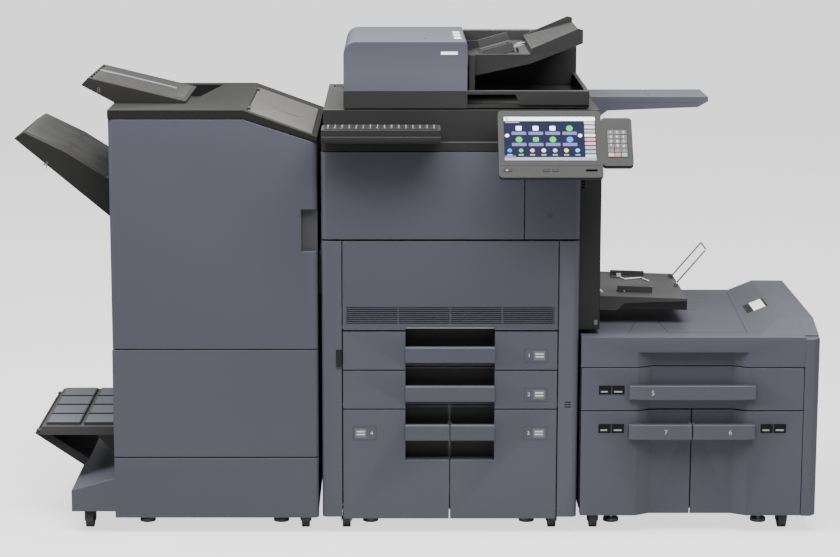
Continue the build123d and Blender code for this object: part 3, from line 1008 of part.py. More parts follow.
def scoop(z0, z1):
    """Cut the wide shallow hollow that runs down the middle of the feeder's fronts."""
    plan_profile([(SCOOP_LEFT, 0), (SCOOP_LEFT, -5), (SCOOP_RIGHT, -5), (SCOOP_RIGHT, 0),
                  (SCOOP_RIGHT - SCOOP_SIDE, SCOOP), (SCOOP_LEFT + SCOOP_SIDE, SCOOP)], z0, z1,
                 Mode.SUBTRACT)


with BuildPart() as feeder_cabinet:
    block(FEEDER_LEFT, FEEDER_RIGHT, FRONT_T + 2, FEEDER_D, FLOOR_Z, DRAWER_5_Z[1] + 30)
    block(FEEDER_LEFT + SHEET, FEEDER_RIGHT - SHEET, FRONT_T + 1, FEEDER_D - SHEET, FLOOR_Z + SHEET,
          DRAWER_5_Z[1] + 24, mode=Mode.SUBTRACT)
    block(MID_X - 3, MID_X + 3, FRONT_T + 6, FEEDER_D, FLOOR_Z, DRAWER_5_Z[0] + 9)
    for z in (FLOOR_Z + 10, DRAWER_5_Z[0] + 4):
        block(FEEDER_LEFT, FEEDER_LEFT + FEEDER_LEDGE, FRONT_T + 2, FEEDER_D, z, z + LEDGE_T)
        block(FEEDER_RIGHT - FEEDER_LEDGE, FEEDER_RIGHT, FRONT_T + 2, FEEDER_D, z, z + LEDGE_T)
    block(MID_X - 16, MID_X + 16, FRONT_T + 6, FEEDER_D, FLOOR_Z + 10, FLOOR_Z + 10 + LEDGE_T)
    block(HALF_W, FEEDER_LEFT, 100, 500, 300, 400)
keep("feeder_cabinet", feeder_cabinet)

with BuildPart() as feeder_top_cover:
    block(FEEDER_LEFT, FEEDER_RIGHT, 0, FRONT_T + 2, DRAWER_5_Z[1] + SEAM / 2, DRAWER_5_Z[1] + 34)
    scoop(DRAWER_5_Z[1] - 1, SCOOP_TOP)
    block(FEEDER_LEFT, FEEDER_RIGHT, 0, FEEDER_D, DRAWER_5_Z[1] + 30, FEEDER_H)
    block(FEEDER_LEFT + 4, FEEDER_RIGHT - 4, FRONT_T + 4, FEEDER_D - 4, DRAWER_5_Z[1] + 29,
          FEEDER_H - 16, mode=Mode.SUBTRACT)
    scoop(DRAWER_5_Z[1] - 1, SCOOP_TOP)
    front_profile([(HUMP_LEFT, FEEDER_H), (HUMP_LEFT, FEEDER_H - 4), (FEEDER_RIGHT, FEEDER_H - 4),
                   (FEEDER_RIGHT, HUMP_TOP), (HUMP_LEFT + HUMP_RAMP, HUMP_TOP)], HUMP_FRONT, FEEDER_D)
    side_profile(HUMP_FACET, HUMP_LEFT - 1, FEEDER_RIGHT + 1, mode=Mode.SUBTRACT)
keep("feeder_top_cover", feeder_top_cover)

with BuildPart() as feeder_end_cover:
    block(FEEDER_RIGHT, END_RIGHT, 0, FEEDER_D, DRAWER_67_Z[0], FEEDER_H - 4)
    chamfer(feeder_end_cover.edges().filter_by(Axis.Z).group_by(Axis.Y)[0].sort_by(Axis.X)[-1], 14)
    block(FEEDER_RIGHT + 4, END_RIGHT - 4, 14, FEEDER_D - 4, DRAWER_67_Z[0] + 4, FEEDER_H - 8,
          mode=Mode.SUBTRACT)
    block(FEEDER_RIGHT, END_RIGHT, HUMP_FRONT, FEEDER_D, FEEDER_H - 8, HUMP_TOP)
    block(FEEDER_RIGHT + 4, END_RIGHT - 4, HUMP_FRONT + 120, FEEDER_D - 4, FEEDER_H - 9, HUMP_TOP - 4,
          mode=Mode.SUBTRACT)
    side_profile(HUMP_FACET, FEEDER_RIGHT - 1, END_RIGHT + 1, mode=Mode.SUBTRACT)
keep("feeder_end_cover", feeder_end_cover)

FEEDER_DRAWERS = {
    "drawer_5": (FEEDER_LEFT, FEEDER_RIGHT, DRAWER_5_Z, BAR5_Z, BAR5_X),
    "drawer_6": (MID_X, FEEDER_RIGHT, DRAWER_67_Z, BAR67_Z, (MID_X + SEAM / 2, BAR5_X[1])),
    "drawer_7": (FEEDER_LEFT, MID_X, DRAWER_67_Z, BAR67_Z, (BAR5_X[0], MID_X - SEAM / 2)),
}
for name, (x0, x1, z_range, bar_z, bar_x) in FEEDER_DRAWERS.items():
    low, high = z_range[0] + SEAM / 2, z_range[1] - SEAM / 2
    left = max(x0 + SEAM / 2, FEEDER_LEFT + SEAM / 2)
    right = min(x1 - SEAM / 2, FEEDER_RIGHT - SEAM / 2)
    floor = (z_range[0] + 9 if name == "drawer_5" else FLOOR_Z + 10 + LEDGE_T) + FIT
    tray_left = x0 + 12 if x0 == FEEDER_LEFT else x0 + 7
    tray_right = x1 - 12 if x1 == FEEDER_RIGHT else x1 - 7
    with BuildPart() as drawer:
        block(left, right, 0, FRONT_T, low, high)
        block(left + 6, right - 6, SCOOP + 4, FRONT_T + 1, low + 12, high - 12, mode=Mode.SUBTRACT)
        scoop(low - 1, high + 1)
        block(bar_x[0], bar_x[1], -BAR_PROUD, 5, bar_z[0], bar_z[1])
        inner_end = bar_x[1] if bar_x[1] == MID_X - SEAM / 2 else bar_x[0]
        if name != "drawer_5":
            post = sorted((inner_end, inner_end + (-6 if name == "drawer_7" else 6)))
            block(post[0], post[1], 0, SCOOP + 1, bar_z[0], bar_z[1])
        open_tray(tray_left, tray_right, FRONT_T + SEAT, TRAY_END, floor, high - 10)
    keep(name, drawer)

# ---- casters and levelling feet ----
CASTER_Y = (52.0, 545.0)
CASTER_HALF = 10.0
AXLE_R = 4.0
WHEEL_Z = CASTER_R + 1.0
CASTER_X = (-HALF_W + 60, HALF_W - 60, FIN_LEFT - 70, FIN_RIGHT - 35, FEEDER_LEFT + 38, FEEDER_RIGHT - 40)
with BuildPart() as caster_forks:
    for x in CASTER_X:
        for y in CASTER_Y:
            block(x - 16, x + 16, y - 16, y + 16, FLOOR_Z - 5, FLOOR_Z)
            for side in (-1, 1):
                cheek = sorted((x + side * (CASTER_HALF + 1), x + side * (CASTER_HALF + 4)))
                block(cheek[0], cheek[1], y - 8, y + 12, WHEEL_Z - 7, FLOOR_Z - 5)
            rod_x(y, WHEEL_Z, AXLE_R, x - CASTER_HALF - 4, x + CASTER_HALF + 4)
keep("caster_forks", caster_forks)

for name, y in (("front_wheels", CASTER_Y[0]), ("rear_wheels", CASTER_Y[1])):
    with BuildPart() as wheels:
        for x in CASTER_X:
            rod_x(y, WHEEL_Z, CASTER_R, x - CASTER_HALF, x + CASTER_HALF)
            rod_x(y, WHEEL_Z, AXLE_R + SPIN, x - CASTER_HALF - 1, x + CASTER_HALF + 1, Mode.SUBTRACT)
    keep(name, wheels)

FOOT_X = (-HALF_W + 120, HALF_W - 120, FIN_LEFT + 70, FIN_RIGHT - 100, FEEDER_LEFT + 90, FEEDER_RIGHT - 90)
FOOT_Y = (110.0, 480.0)
with BuildPart() as levelling_feet:
    for x in FOOT_X:
        for y in FOOT_Y:
            with Locations((x, y, 0)):
                Cylinder(FOOT_R, 8, align=(Align.CENTER, Align.CENTER, Align.MIN))
                Cylinder(6, FLOOR_Z, align=(Align.CENTER, Align.CENTER, Align.MIN))
keep("levelling_feet", levelling_feet)

# ---- place the origin at floor level under the middle of the machine, then write every piece ----
os.makedirs("parts", exist_ok=True)
bounds = [piece.part.bounding_box() for piece in pieces.values()]
MIDDLE_X = (min(b.min.X for b in bounds) + max(b.max.X for b in bounds)) / 2
MIDDLE_Y = (min(b.min.Y for b in bounds) + max(b.max.Y for b in bounds)) / 2
SHIFT = (-MIDDLE_X, -MIDDLE_Y, -min(b.min.Z for b in bounds))
for name, piece in pieces.items():
    placed = piece.part.moved(Location(SHIFT))
    placed.label = name
    export_step(placed, f"parts/{name}.step")
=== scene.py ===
import json
import math

import bpy
from mathutils import Matrix, Vector


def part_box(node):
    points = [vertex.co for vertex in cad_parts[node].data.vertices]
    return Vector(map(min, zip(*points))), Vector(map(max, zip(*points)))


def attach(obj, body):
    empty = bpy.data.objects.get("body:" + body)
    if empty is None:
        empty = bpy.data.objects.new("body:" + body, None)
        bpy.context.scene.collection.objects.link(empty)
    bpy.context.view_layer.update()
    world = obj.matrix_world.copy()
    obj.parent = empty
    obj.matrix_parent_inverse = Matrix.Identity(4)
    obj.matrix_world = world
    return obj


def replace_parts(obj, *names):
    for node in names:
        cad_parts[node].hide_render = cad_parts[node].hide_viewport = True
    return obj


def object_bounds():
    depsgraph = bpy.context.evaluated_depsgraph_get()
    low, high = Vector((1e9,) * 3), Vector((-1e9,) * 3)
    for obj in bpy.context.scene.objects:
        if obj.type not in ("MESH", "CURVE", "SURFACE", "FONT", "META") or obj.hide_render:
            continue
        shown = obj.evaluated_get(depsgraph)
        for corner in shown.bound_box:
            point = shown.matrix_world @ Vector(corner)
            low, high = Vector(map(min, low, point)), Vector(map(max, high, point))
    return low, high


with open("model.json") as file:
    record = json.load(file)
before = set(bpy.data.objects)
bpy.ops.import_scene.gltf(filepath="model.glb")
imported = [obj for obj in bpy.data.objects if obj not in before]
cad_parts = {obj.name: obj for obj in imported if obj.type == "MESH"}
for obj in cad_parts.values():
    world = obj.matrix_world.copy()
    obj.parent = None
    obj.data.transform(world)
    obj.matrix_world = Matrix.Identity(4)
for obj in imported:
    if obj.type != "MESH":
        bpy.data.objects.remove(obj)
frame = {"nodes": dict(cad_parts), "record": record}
cad_low, cad_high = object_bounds()

# ---- camera ----
# A 99 mm lens a little over five metres in front of the machine, above its top and tilted down.
# A small shift in both directions sets the machine in the middle of the frame.
bpy.ops.object.select_all(action="DESELECT")
CAMERA_AWAY = 5.456
CAMERA_HEIGHT = 1.778
CAMERA_DOWN = math.radians(9.87)
camera = bpy.data.objects.new("camera", bpy.data.cameras.new("camera"))
bpy.context.scene.collection.objects.link(camera)
camera.data.sensor_width = 36.0
camera.data.lens = 98.93
camera.data.shift_x = 0.0302
camera.data.shift_y = -0.07
camera.location = (-0.0558, cad_low.y - CAMERA_AWAY, CAMERA_HEIGHT)
camera.rotation_euler = (math.pi / 2 - CAMERA_DOWN, 0.0, 0.0)
bpy.context.scene.camera = camera


# ---- floor, room and lights ----
# A pale seamless studio floor. A large softbox hangs above and in front of the machine, so that the
# tops are the brightest faces; weak boxes at both sides draw the upright edges.
def node_material(name):
    """A new material with its Principled shader, and a function that adds a node and sets its inputs."""
    material = bpy.data.materials.new(name)
    material.use_nodes = True
    tree = material.node_tree
    shader = tree.nodes["Principled BSDF"]

    def add(kind, **values):
        node = tree.nodes.new(kind)
        for key, value in values.items():
            if key in node.inputs:
                node.inputs[key].default_value = value
            else:
                setattr(node, key, value)
        return node

    return material, shader, add, tree.links.new


floor_paint, shader, add, link = node_material("studio_floor")
place = add("ShaderNodeTexCoord")
cloud = add("ShaderNodeTexNoise", Scale=0.8, Detail=2.0)
tint = add("ShaderNodeMixRGB", Color1=(0.42, 0.42, 0.42, 1), Color2=(0.45, 0.45, 0.45, 1))
link(place.outputs["Object"], cloud.inputs["Vector"])
link(cloud.outputs["Fac"], tint.inputs["Fac"])
link(tint.outputs["Color"], shader.inputs["Base Color"])
link(tint.outputs["Color"], shader.inputs["Emission Color"])
seen = add("ShaderNodeLightPath")
glow = add("ShaderNodeMath", operation="MULTIPLY")
glow.inputs[1].default_value = 3.2
link(seen.outputs["Is Camera Ray"], glow.inputs[0])
link(glow.outputs[0], shader.inputs["Emission Strength"])
shader.inputs["Roughness"].default_value = 0.6
bpy.ops.mesh.primitive_plane_add(size=80.0, location=(0, 0, cad_low.z - 0.0005))
floor = bpy.context.object
floor.name = "studio_floor"
floor.data.materials.append(floor_paint)

world = bpy.data.worlds.new("studio")
bpy.context.scene.world = world
world.use_nodes = True
world.node_tree.nodes["Background"].inputs["Color"].default_value = (1.0, 1.0, 1.0, 1)
world.node_tree.nodes["Background"].inputs["Strength"].default_value = 0.28


def softbox(name, place, target, width, height, power):
    """A rectangular area light at one point, turned towards another."""
    data = bpy.data.lights.new(name, "AREA")
    data.shape = "RECTANGLE"
    data.size, data.size_y, data.energy = width, height, power
    light = bpy.data.objects.new(name, data)
    bpy.context.scene.collection.objects.link(light)
    light.location = place
    light.rotation_euler = (Vector(target) - Vector(place)).to_track_quat("-Z", "Y").to_euler()


softbox("top_box", (-0.3, -0.75, 2.9), (0.0, 0.1, 0.8), 4.2, 1.8, 330.0)
softbox("left_box", (-4.2, -1.8, 1.7), (-0.2, 0.0, 0.7), 1.4, 2.6, 45.0)
softbox("right_box", (4.2, -1.5, 1.7), (0.2, 0.0, 0.6), 1.4, 2.6, 30.0)
softbox("rear_box", (0.0, 4.2, 3.8), (0.0, 0.3, 0.6), 5.0, 2.2, 50.0)


# ---- frame of the main unit ----
# Folded zinc-plated steel sheets: floor, sides, back, decks and the rails that carry the drawers.
# They are bent, spot-welded and screwed, and the covers hang on them.
def group_of(name, inputs, outputs):
    """A shader node group with named sockets."""
    tree = bpy.data.node_groups.new(name, "ShaderNodeTree")
    for label, kind, value in inputs:
        socket = tree.interface.new_socket(label, in_out="INPUT", socket_type="NodeSocket" + kind)
        if value is not None:
            socket.default_value = value
    for label, kind in outputs:
        tree.interface.new_socket(label, in_out="OUTPUT", socket_type="NodeSocket" + kind)
    return tree, tree.nodes.new("NodeGroupInput"), tree.nodes.new("NodeGroupOutput")


# fine spark-eroded grain of moulded parts, with a slow change of tone across each moulding
grain_group, start, end = group_of(
    "moulded_grain",
    [("Place", "Vector", None), ("Scale", "Float", 900.0), ("Tone", "Float", 3.0)],
    [("Height", "Float"), ("Mottle", "Float"), ("Fleck", "Float")])
add, link = grain_group.nodes.new, grain_group.links.new
fine = add("ShaderNodeTexNoise")
fine.inputs["Detail"].default_value = 3.0
cells = add("ShaderNodeTexVoronoi")
slow = add("ShaderNodeTexNoise")
slow.inputs["Detail"].default_value = 4.0
slow.inputs["Roughness"].default_value = 0.65
both = add("ShaderNodeMath")
both.operation = "MULTIPLY_ADD"
both.inputs[1].default_value = 0.6
for texture in (fine, cells, slow):
    link(start.outputs["Place"], texture.inputs["Vector"])
link(start.outputs["Scale"], fine.inputs["Scale"])
link(start.outputs["Scale"], cells.inputs["Scale"])
link(start.outputs["Tone"], slow.inputs["Scale"])
link(cells.outputs["Distance"], both.inputs[0])
link(fine.outputs["Fac"], both.inputs[2])
link(both.outputs[0], end.inputs["Height"])
link(slow.outputs["Fac"], end.inputs["Mottle"])
link(fine.outputs["Fac"], end.inputs["Fleck"])

# handling: edges polished lighter by hands, and a little dust on what faces up
wear_group, start, end = group_of(
    "edge_wear_and_dust",
    [("Colour", "Color", (0.1, 0.1, 0.1, 1)), ("Worn", "Color", (0.2, 0.2, 0.2, 1)),
     ("Dust", "Color", (0.4, 0.4, 0.4, 1)), ("Wear", "Float", 0.5), ("Dusty", "Float", 0.1),
     ("Mottle", "Float", 0.5)],
    [("Colour", "Color"), ("Worn", "Float")])
add, link = wear_group.nodes.new, wear_group.links.new
shape = add("ShaderNodeNewGeometry")
edges = add("ShaderNodeMapRange")
edges.inputs["From Min"].default_value = 0.505
edges.inputs["From Max"].default_value = 0.60
amount = add("ShaderNodeMath")
amount.operation = "MULTIPLY"
worn = add("ShaderNodeMixRGB")
upward = add("ShaderNodeSeparateXYZ")
settled = add("ShaderNodeMapRange")
settled.inputs["From Min"].default_value = 0.3
settled.inputs["From Max"].default_value = 1.0
patchy = add("ShaderNodeMath")
patchy.operation = "MULTIPLY"
share = add("ShaderNodeMath")
share.operation = "MULTIPLY"
dusted = add("ShaderNodeMixRGB")
link(shape.outputs["Pointiness"], edges.inputs["Value"])
link(edges.outputs["Result"], amount.inputs[0])
link(start.outputs["Wear"], amount.inputs[1])
link(amount.outputs[0], worn.inputs["Fac"])
link(start.outputs["Colour"], worn.inputs["Color1"])
link(start.outputs["Worn"], worn.inputs["Color2"])
link(shape.outputs["Normal"], upward.inputs["Vector"])
link(upward.outputs["Z"], settled.inputs["Value"])
link(settled.outputs["Result"], patchy.inputs[0])
link(start.outputs["Mottle"], patchy.inputs[1])
link(patchy.outputs[0], share.inputs[0])
link(start.outputs["Dusty"], share.inputs[1])
link(share.outputs[0], dusted.inputs["Fac"])
link(worn.outputs["Color"], dusted.inputs["Color1"])
link(start.outputs["Dust"], dusted.inputs["Color2"])
link(dusted.outputs["Color"], end.inputs["Colour"])
link(amount.outputs[0], end.inputs["Worn"])


def surface(name, tone, vary=0.10, rough=(0.42, 0.52), grain=1100.0, relief=0.00004, wear=0.35,
            dusty=0.08, slow=2.5, metal=0.0, gloss=0.35, glow=None):
    """A moulded, painted or metal finish: tone is its linear colour, vary how much it drifts."""
    material, shader, add, link = node_material(name)
    place = add("ShaderNodeTexCoord")
    grained = add("ShaderNodeGroup", node_tree=grain_group)
    grained.inputs["Scale"].default_value = grain
    grained.inputs["Tone"].default_value = slow
    low = tuple(c * (1 - vary) for c in tone) + (1,)
    high = tuple(c * (1 + vary) for c in tone) + (1,)
    drift = add("ShaderNodeMixRGB", Color1=low, Color2=high)
    worn = add("ShaderNodeGroup", node_tree=wear_group)
    worn.inputs["Worn"].default_value = tuple(min(1.0, c * 1.5 + 0.02) for c in tone) + (1,)
    worn.inputs["Dust"].default_value = (0.42, 0.41, 0.39, 1)
    worn.inputs["Wear"].default_value = wear
    worn.inputs["Dusty"].default_value = dusty
    sheen = add("ShaderNodeMapRange")
    sheen.inputs["To Min"].default_value, sheen.inputs["To Max"].default_value = rough
    bump = add("ShaderNodeBump", Strength=1.0, Distance=relief)
    link(place.outputs["Object"], grained.inputs["Place"])
    link(grained.outputs["Mottle"], drift.inputs["Fac"])
    link(drift.outputs["Color"], worn.inputs["Colour"])
    link(grained.outputs["Mottle"], worn.inputs["Mottle"])
    link(worn.outputs["Colour"], shader.inputs["Base Color"])
    link(grained.outputs["Mottle"], sheen.inputs["Value"])
    link(sheen.outputs["Result"], shader.inputs["Roughness"])
    link(grained.outputs["Height"], bump.inputs["Height"])
    link(bump.outputs["Normal"], shader.inputs["Normal"])
    shader.inputs["Metallic"].default_value = metal
    shader.inputs["Specular IOR Level"].default_value = gloss
    if glow:
        link(worn.outputs["Colour"], shader.inputs["Emission Color"])
        shader.inputs["Emission Strength"].default_value = glow
    return material


def coat(material, *nodes):
    """Gives CAD nodes that keep their own shape a finish."""
    for node in nodes:
        mesh = frame["nodes"][node].data
        mesh.materials.clear()
        mesh.materials.append(material)


steel = surface("zinc_plated_steel", (0.42, 0.43, 0.45), vary=0.12, rough=(0.30, 0.48), grain=260.0,
                relief=0.00003, wear=0.2, slow=14.0, metal=0.9)
coat(steel, "main_frame")


# ---- covers of the main unit ----
# Thin injection-moulded shells in satin blue-grey: the wide upper cover, the small one beside it, the
# vented middle cover, both sides with their front columns, and the rear cover.
MM = 0.001
BODY_OF = {node: body for body, nodes in frame["record"]["behaviour"]["bodies"].items() for node in nodes}


def only(piece):
    """Makes one piece the selected and active object."""
    bpy.ops.object.select_all(action="DESELECT")
    piece.select_set(True)
    bpy.context.view_layer.objects.active = piece


def pick_faces(piece, out, beyond=0.9, where=None):
    """Selects the faces that look the way out says, and enters edit mode."""
    only(piece)
    bpy.ops.object.mode_set(mode="EDIT")
    bpy.ops.mesh.select_mode(type="FACE")
    bpy.ops.mesh.select_all(action="DESELECT")
    bpy.ops.object.mode_set(mode="OBJECT")
    out = Vector(out).normalized()
    for face in piece.data.polygons:
        face.select = face.normal.dot(out) > beyond and (where is None or where(face.center))
    bpy.ops.object.mode_set(mode="EDIT")


def pressed(piece, out, rim, depth, where=None, each=True):
    """Insets the faces that look one way and presses them in, or raises them where depth is below 0."""
    pick_faces(piece, out, where=where)
    bpy.ops.mesh.inset(thickness=rim, depth=-depth, use_individual=each)
    bpy.ops.object.mode_set(mode="OBJECT")


def finished(piece, name, material, body, edge=0.6 * MM, steps=2, angle=35, sharpest=32):
    """Rounds edges turning more than sharpest degrees, smooths, paints and fixes a piece to its body."""
    only(piece)
    piece.name = piece.data.name = name
    if edge:
        bevel = piece.modifiers.new("edge", "BEVEL")
        bevel.width, bevel.segments = edge, steps
        bevel.limit_method, bevel.angle_limit = "ANGLE", math.radians(sharpest)
        bpy.ops.object.modifier_apply(modifier="edge")
    bpy.ops.object.shade_smooth_by_angle(angle=math.radians(angle))
    if edge:
        normals = piece.modifiers.new("flat_faces", "WEIGHTED_NORMAL")
        normals.keep_sharp = True
        bpy.ops.object.modifier_apply(modifier="flat_faces")
    piece.data.materials.clear()
    piece.data.materials.append(material)
    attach(piece, body)
    return piece


def merged_copy(node):
    """A copy of a CAD node's mesh with its loose triangles joined into flat faces."""
    source = frame["nodes"][node]
    piece = bpy.data.objects.new(node + "_shell", source.data.copy())
    bpy.context.scene.collection.objects.link(piece)
    only(piece)
    bpy.ops.object.mode_set(mode="EDIT")
    bpy.ops.mesh.select_all(action="SELECT")
    bpy.ops.mesh.remove_doubles(threshold=0.00001)
    bpy.ops.mesh.dissolve_limited(angle_limit=math.radians(0.6))
    bpy.ops.object.mode_set(mode="OBJECT")
    return piece


def moulded(node, material, edge=0.9 * MM, steps=2, sharpest=32):
    """A CAD node's shape with the small radii of a real moulding, standing for the node."""
    piece = finished(merged_copy(node), node + "_shell", material, BODY_OF[node], edge, steps,
                     sharpest=sharpest)
    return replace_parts(piece, node)


def block_of(low, high):
    """A block between two corners, with its place in its mesh."""
    low, high = Vector(low), Vector(high)
    bpy.ops.object.select_all(action="DESELECT")
    bpy.ops.mesh.primitive_cube_add(size=1.0, location=(low + high) / 2)
    piece = bpy.context.object
    piece.scale = high - low
    bpy.ops.object.transform_apply(location=True, rotation=True, scale=True)
    return piece


def plate(name, low, high, out, rim, depth, material, body, edge):
    """A block with one face pressed in or raised: rim, depth and edge are in millimetres."""
    piece = block_of(low, high)
    pressed(piece, out, rim * MM, depth * MM)
    return finished(piece, name, material, body, edge * MM)


def rod_of(start, end, radius, sides=24):
    """A rod between two points, with its place in its mesh."""
    start, end = Vector(start), Vector(end)
    bpy.ops.object.select_all(action="DESELECT")
    bpy.ops.mesh.primitive_cylinder_add(vertices=sides, radius=radius, depth=(end - start).length,
                                        location=(start + end) / 2)
    piece = bpy.context.object
    piece.rotation_euler = (end - start).to_track_quat("Z", "Y").to_euler()
    bpy.ops.object.transform_apply(location=True, rotation=True, scale=True)
    return piece


def joined(parts):
    """Several pieces as one."""
    only(parts[0])
    for part in parts:
        part.select_set(True)
    bpy.ops.object.join()
    return bpy.context.object


body_grey = surface("body_blue_grey_satin", (0.054, 0.055, 0.073), vary=0.05, rough=(0.40, 0.47),
                    relief=0.00002, wear=0.5, dusty=0.05, slow=1.6)
dark = surface("dark_grained_plastic", (0.015, 0.0147, 0.0147), vary=0.10, gloss=0.2, rough=(0.46, 0.58),
               relief=0.00005, grain=900.0, wear=0.35, dusty=0.10)
deep = surface("deep_shadow_plastic", (0.006, 0.006, 0.007), vary=0.12, rough=(0.6, 0.75), wear=0.1,
               gloss=0.15)
mid_grey = surface("mid_grey_plastic", (0.052, 0.052, 0.055), vary=0.08, rough=(0.42, 0.52), wear=0.4)
chalk = surface("pale_print", (0.62, 0.63, 0.66), vary=0.04, rough=(0.5, 0.6), wear=0.0, dusty=0.0)
card = surface("card_insert", (0.13, 0.135, 0.15), vary=0.05, rough=(0.6, 0.7), wear=0.0)

for cover, edge in (("upper_front_cover", 1.2), ("small_front_cover", 1.2), ("middle_front_cover", 0.5),
                    ("left_side_cover", 1.2), ("right_side_cover", 0.9), ("rear_cover", 1.2)):
    moulded(cover, body_grey, edge * MM)

# a small status window near the corner of the small upper cover
small_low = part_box("small_front_cover")[0]
face_y = small_low.y
plate("status_window", (small_low.x + 54 * MM, face_y - 0.4 * MM, small_low.z + 52 * MM),
      (small_low.x + 69 * MM, face_y + 2 * MM, small_low.z + 67 * MM), (0, -1, 0), 1.6, 0.25, mid_grey,
      "main", 0.4)

# dark finger catch of the middle cover on the left front column
column_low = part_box("left_side_cover")[0]
front_1_low, front_1_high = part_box("drawer_1")
plate("cover_catch", (front_1_low.x - 17 * MM, column_low.y - 3 * MM, front_1_low.z + 5 * MM),
      (front_1_low.x - 3 * MM, column_low.y + 6 * MM, front_1_high.z - 45 * MM), (0, -1, 0), 2.2, 1.6,
      dark, "main", 0.9)

# painted shade: behind the vent's slats a very dark mat closes the view into the engine
vent_low, vent_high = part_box("middle_front_cover")
plate("vent_shade_mat", (vent_low.x + 12 * MM, vent_low.y + 5 * MM, vent_low.z + 11 * MM),
      (vent_high.x - 12 * MM, vent_low.y + 9 * MM, vent_low.z + 68 * MM), (0, -1, 0), 3, 0.8, deep,
      "middle_cover", 0.4)


# ---- drawers 1 to 4 ----
# Each front is a blue-grey moulding with a pocket, whose back is painted dark as shade, and a bar to pull, on
# a steel tray.
# Beside it a framed window holds a number and a card that shows what paper is loaded.
def split_front(node, front_name, tray_name, split_y, tray_material, edge=1.0 * MM, sharpest=32):
    """The front moulding and the tray behind it, which are two solids of one node."""
    body = BODY_OF[node]
    piece = merged_copy(node)
    only(piece)
    bpy.ops.object.mode_set(mode="EDIT")
    bpy.ops.mesh.select_all(action="SELECT")
    bpy.ops.mesh.separate(type="LOOSE")
    bpy.ops.object.mode_set(mode="OBJECT")
    parts = list(bpy.context.selected_objects)
    reach = {o: max(v.co.y for v in o.data.vertices) for o in parts}
    trays = [o for o in parts if reach[o] > split_y]
    fronts = [o for o in parts if reach[o] <= split_y]
    front = finished(joined(fronts), front_name, body_grey, body, edge, sharpest=sharpest)
    finished(joined(trays), tray_name, tray_material, body, 0.6 * MM, 1)
    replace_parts(front, node)


def printed(text, height, middle, material, name, body, turn=None):
    """A flat figure as mesh: it faces the front, or the way a 3x3 turn gives it."""
    data = bpy.data.curves.new(name, "FONT")
    data.body, data.size = text, height
    data.align_x = data.align_y = "CENTER"
    data.extrude = 0.12 * MM
    letter = bpy.data.objects.new(name, data)
    bpy.context.scene.collection.objects.link(letter)
    only(letter)
    bpy.ops.object.convert(target="MESH")
    letter = bpy.context.object
    turn = turn or Matrix.Rotation(math.pi / 2, 3, "X")
    letter.data.transform(Matrix.Translation(Vector(middle)) @ turn.to_4x4())
    return finished(letter, name, material, body, 0)


def paper_window(name, low_x, low_z, figure, body, face_y, width=59 * MM, height=35 * MM, left=False):
    """A framed window in a drawer's front with the drawer's number and its paper card."""
    high_x, high_z = low_x + width, low_z + height
    plate(name + "_frame", (low_x, face_y - 0.7 * MM, low_z), (high_x, face_y + 2 * MM, high_z),
          (0, -1, 0), 2.0, 0.9, mid_grey, body, 0.5)
    y = face_y + 0.1 * MM
    card_low = low_x + width * (0.10 if left else 0.40)
    card_high = card_low + width * 0.48
    plate(name + "_card", (card_low, y - 0.35 * MM, low_z + 6 * MM),
          (card_high, y + 0.3 * MM, high_z - 6 * MM), (0, -1, 0), 1.2, 0.12, card, body,
          0.15)
    for k, share in enumerate((0.62, 0.30)):
        z = low_z + 6 * MM + (height - 12 * MM) * share
        plate(f"{name}_line_{k}", (card_low + 4 * MM, y - 0.55 * MM, z),
              (card_high - 4 * MM, y, z + 3.2 * MM), (0, -1, 0), 0.5, 0.05, chalk, body,
              0.1)
    x = low_x + width * (0.80 if left else 0.20)
    printed(figure, 13 * MM, (x, y - 0.2 * MM, (low_z + high_z) / 2), chalk, name + "_number", body)


drawer_boxes = {k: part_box(f"drawer_{k}") for k in range(1, 5)}
front_in = drawer_boxes[1][0].y + 60 * MM
tray_steel = surface("drawer_tray_sheet", (0.30, 0.31, 0.33), vary=0.10, rough=(0.35, 0.5), grain=300.0,
                     relief=0.00002, wear=0.2, metal=0.7)
for k, (low, high) in drawer_boxes.items():
    split_front(f"drawer_{k}", f"drawer_{k}_front", f"drawer_{k}_tray", front_in, tray_steel)
front_y = drawer_boxes[1][0].y + 4 * MM
for k in (1, 2, 3):
    low, high = drawer_boxes[k]
    paper_window(f"drawer_{k}_window", drawer_boxes[1][1].x - 82 * MM, high.z - 78 * MM, str(k),
                 BODY_OF[f"drawer_{k}"], front_y)
low, high = drawer_boxes[4]
paper_window("drawer_4_window", low.x + 24 * MM, high.z - 78 * MM, "4", BODY_OF["drawer_4"], front_y,
             left=True)

# painted shade: a dark sheet lines the back of the pocket behind each bar, so the bar stands out
for k, (low, high) in drawer_boxes.items():
    left = max(low.x + 1.5 * MM, drawer_boxes[1][0].x + 157 * MM)
    right = min(high.x - 1.5 * MM, drawer_boxes[1][1].x - 157 * MM)
    bottom = high.z - 130.5 * MM if k > 2 else high.z - 92 * MM
    plate(f"drawer_{k}_pocket_painted_shade", (left + 1 * MM, front_y + 39.0 * MM, max(bottom, low.z + 4 * MM)),
          (right - 1 * MM, front_y + 41.6 * MM, high.z - 3 * MM), (0, -1, 0), 4, 0.8, dark,
          BODY_OF[f"drawer_{k}"], 0.5)

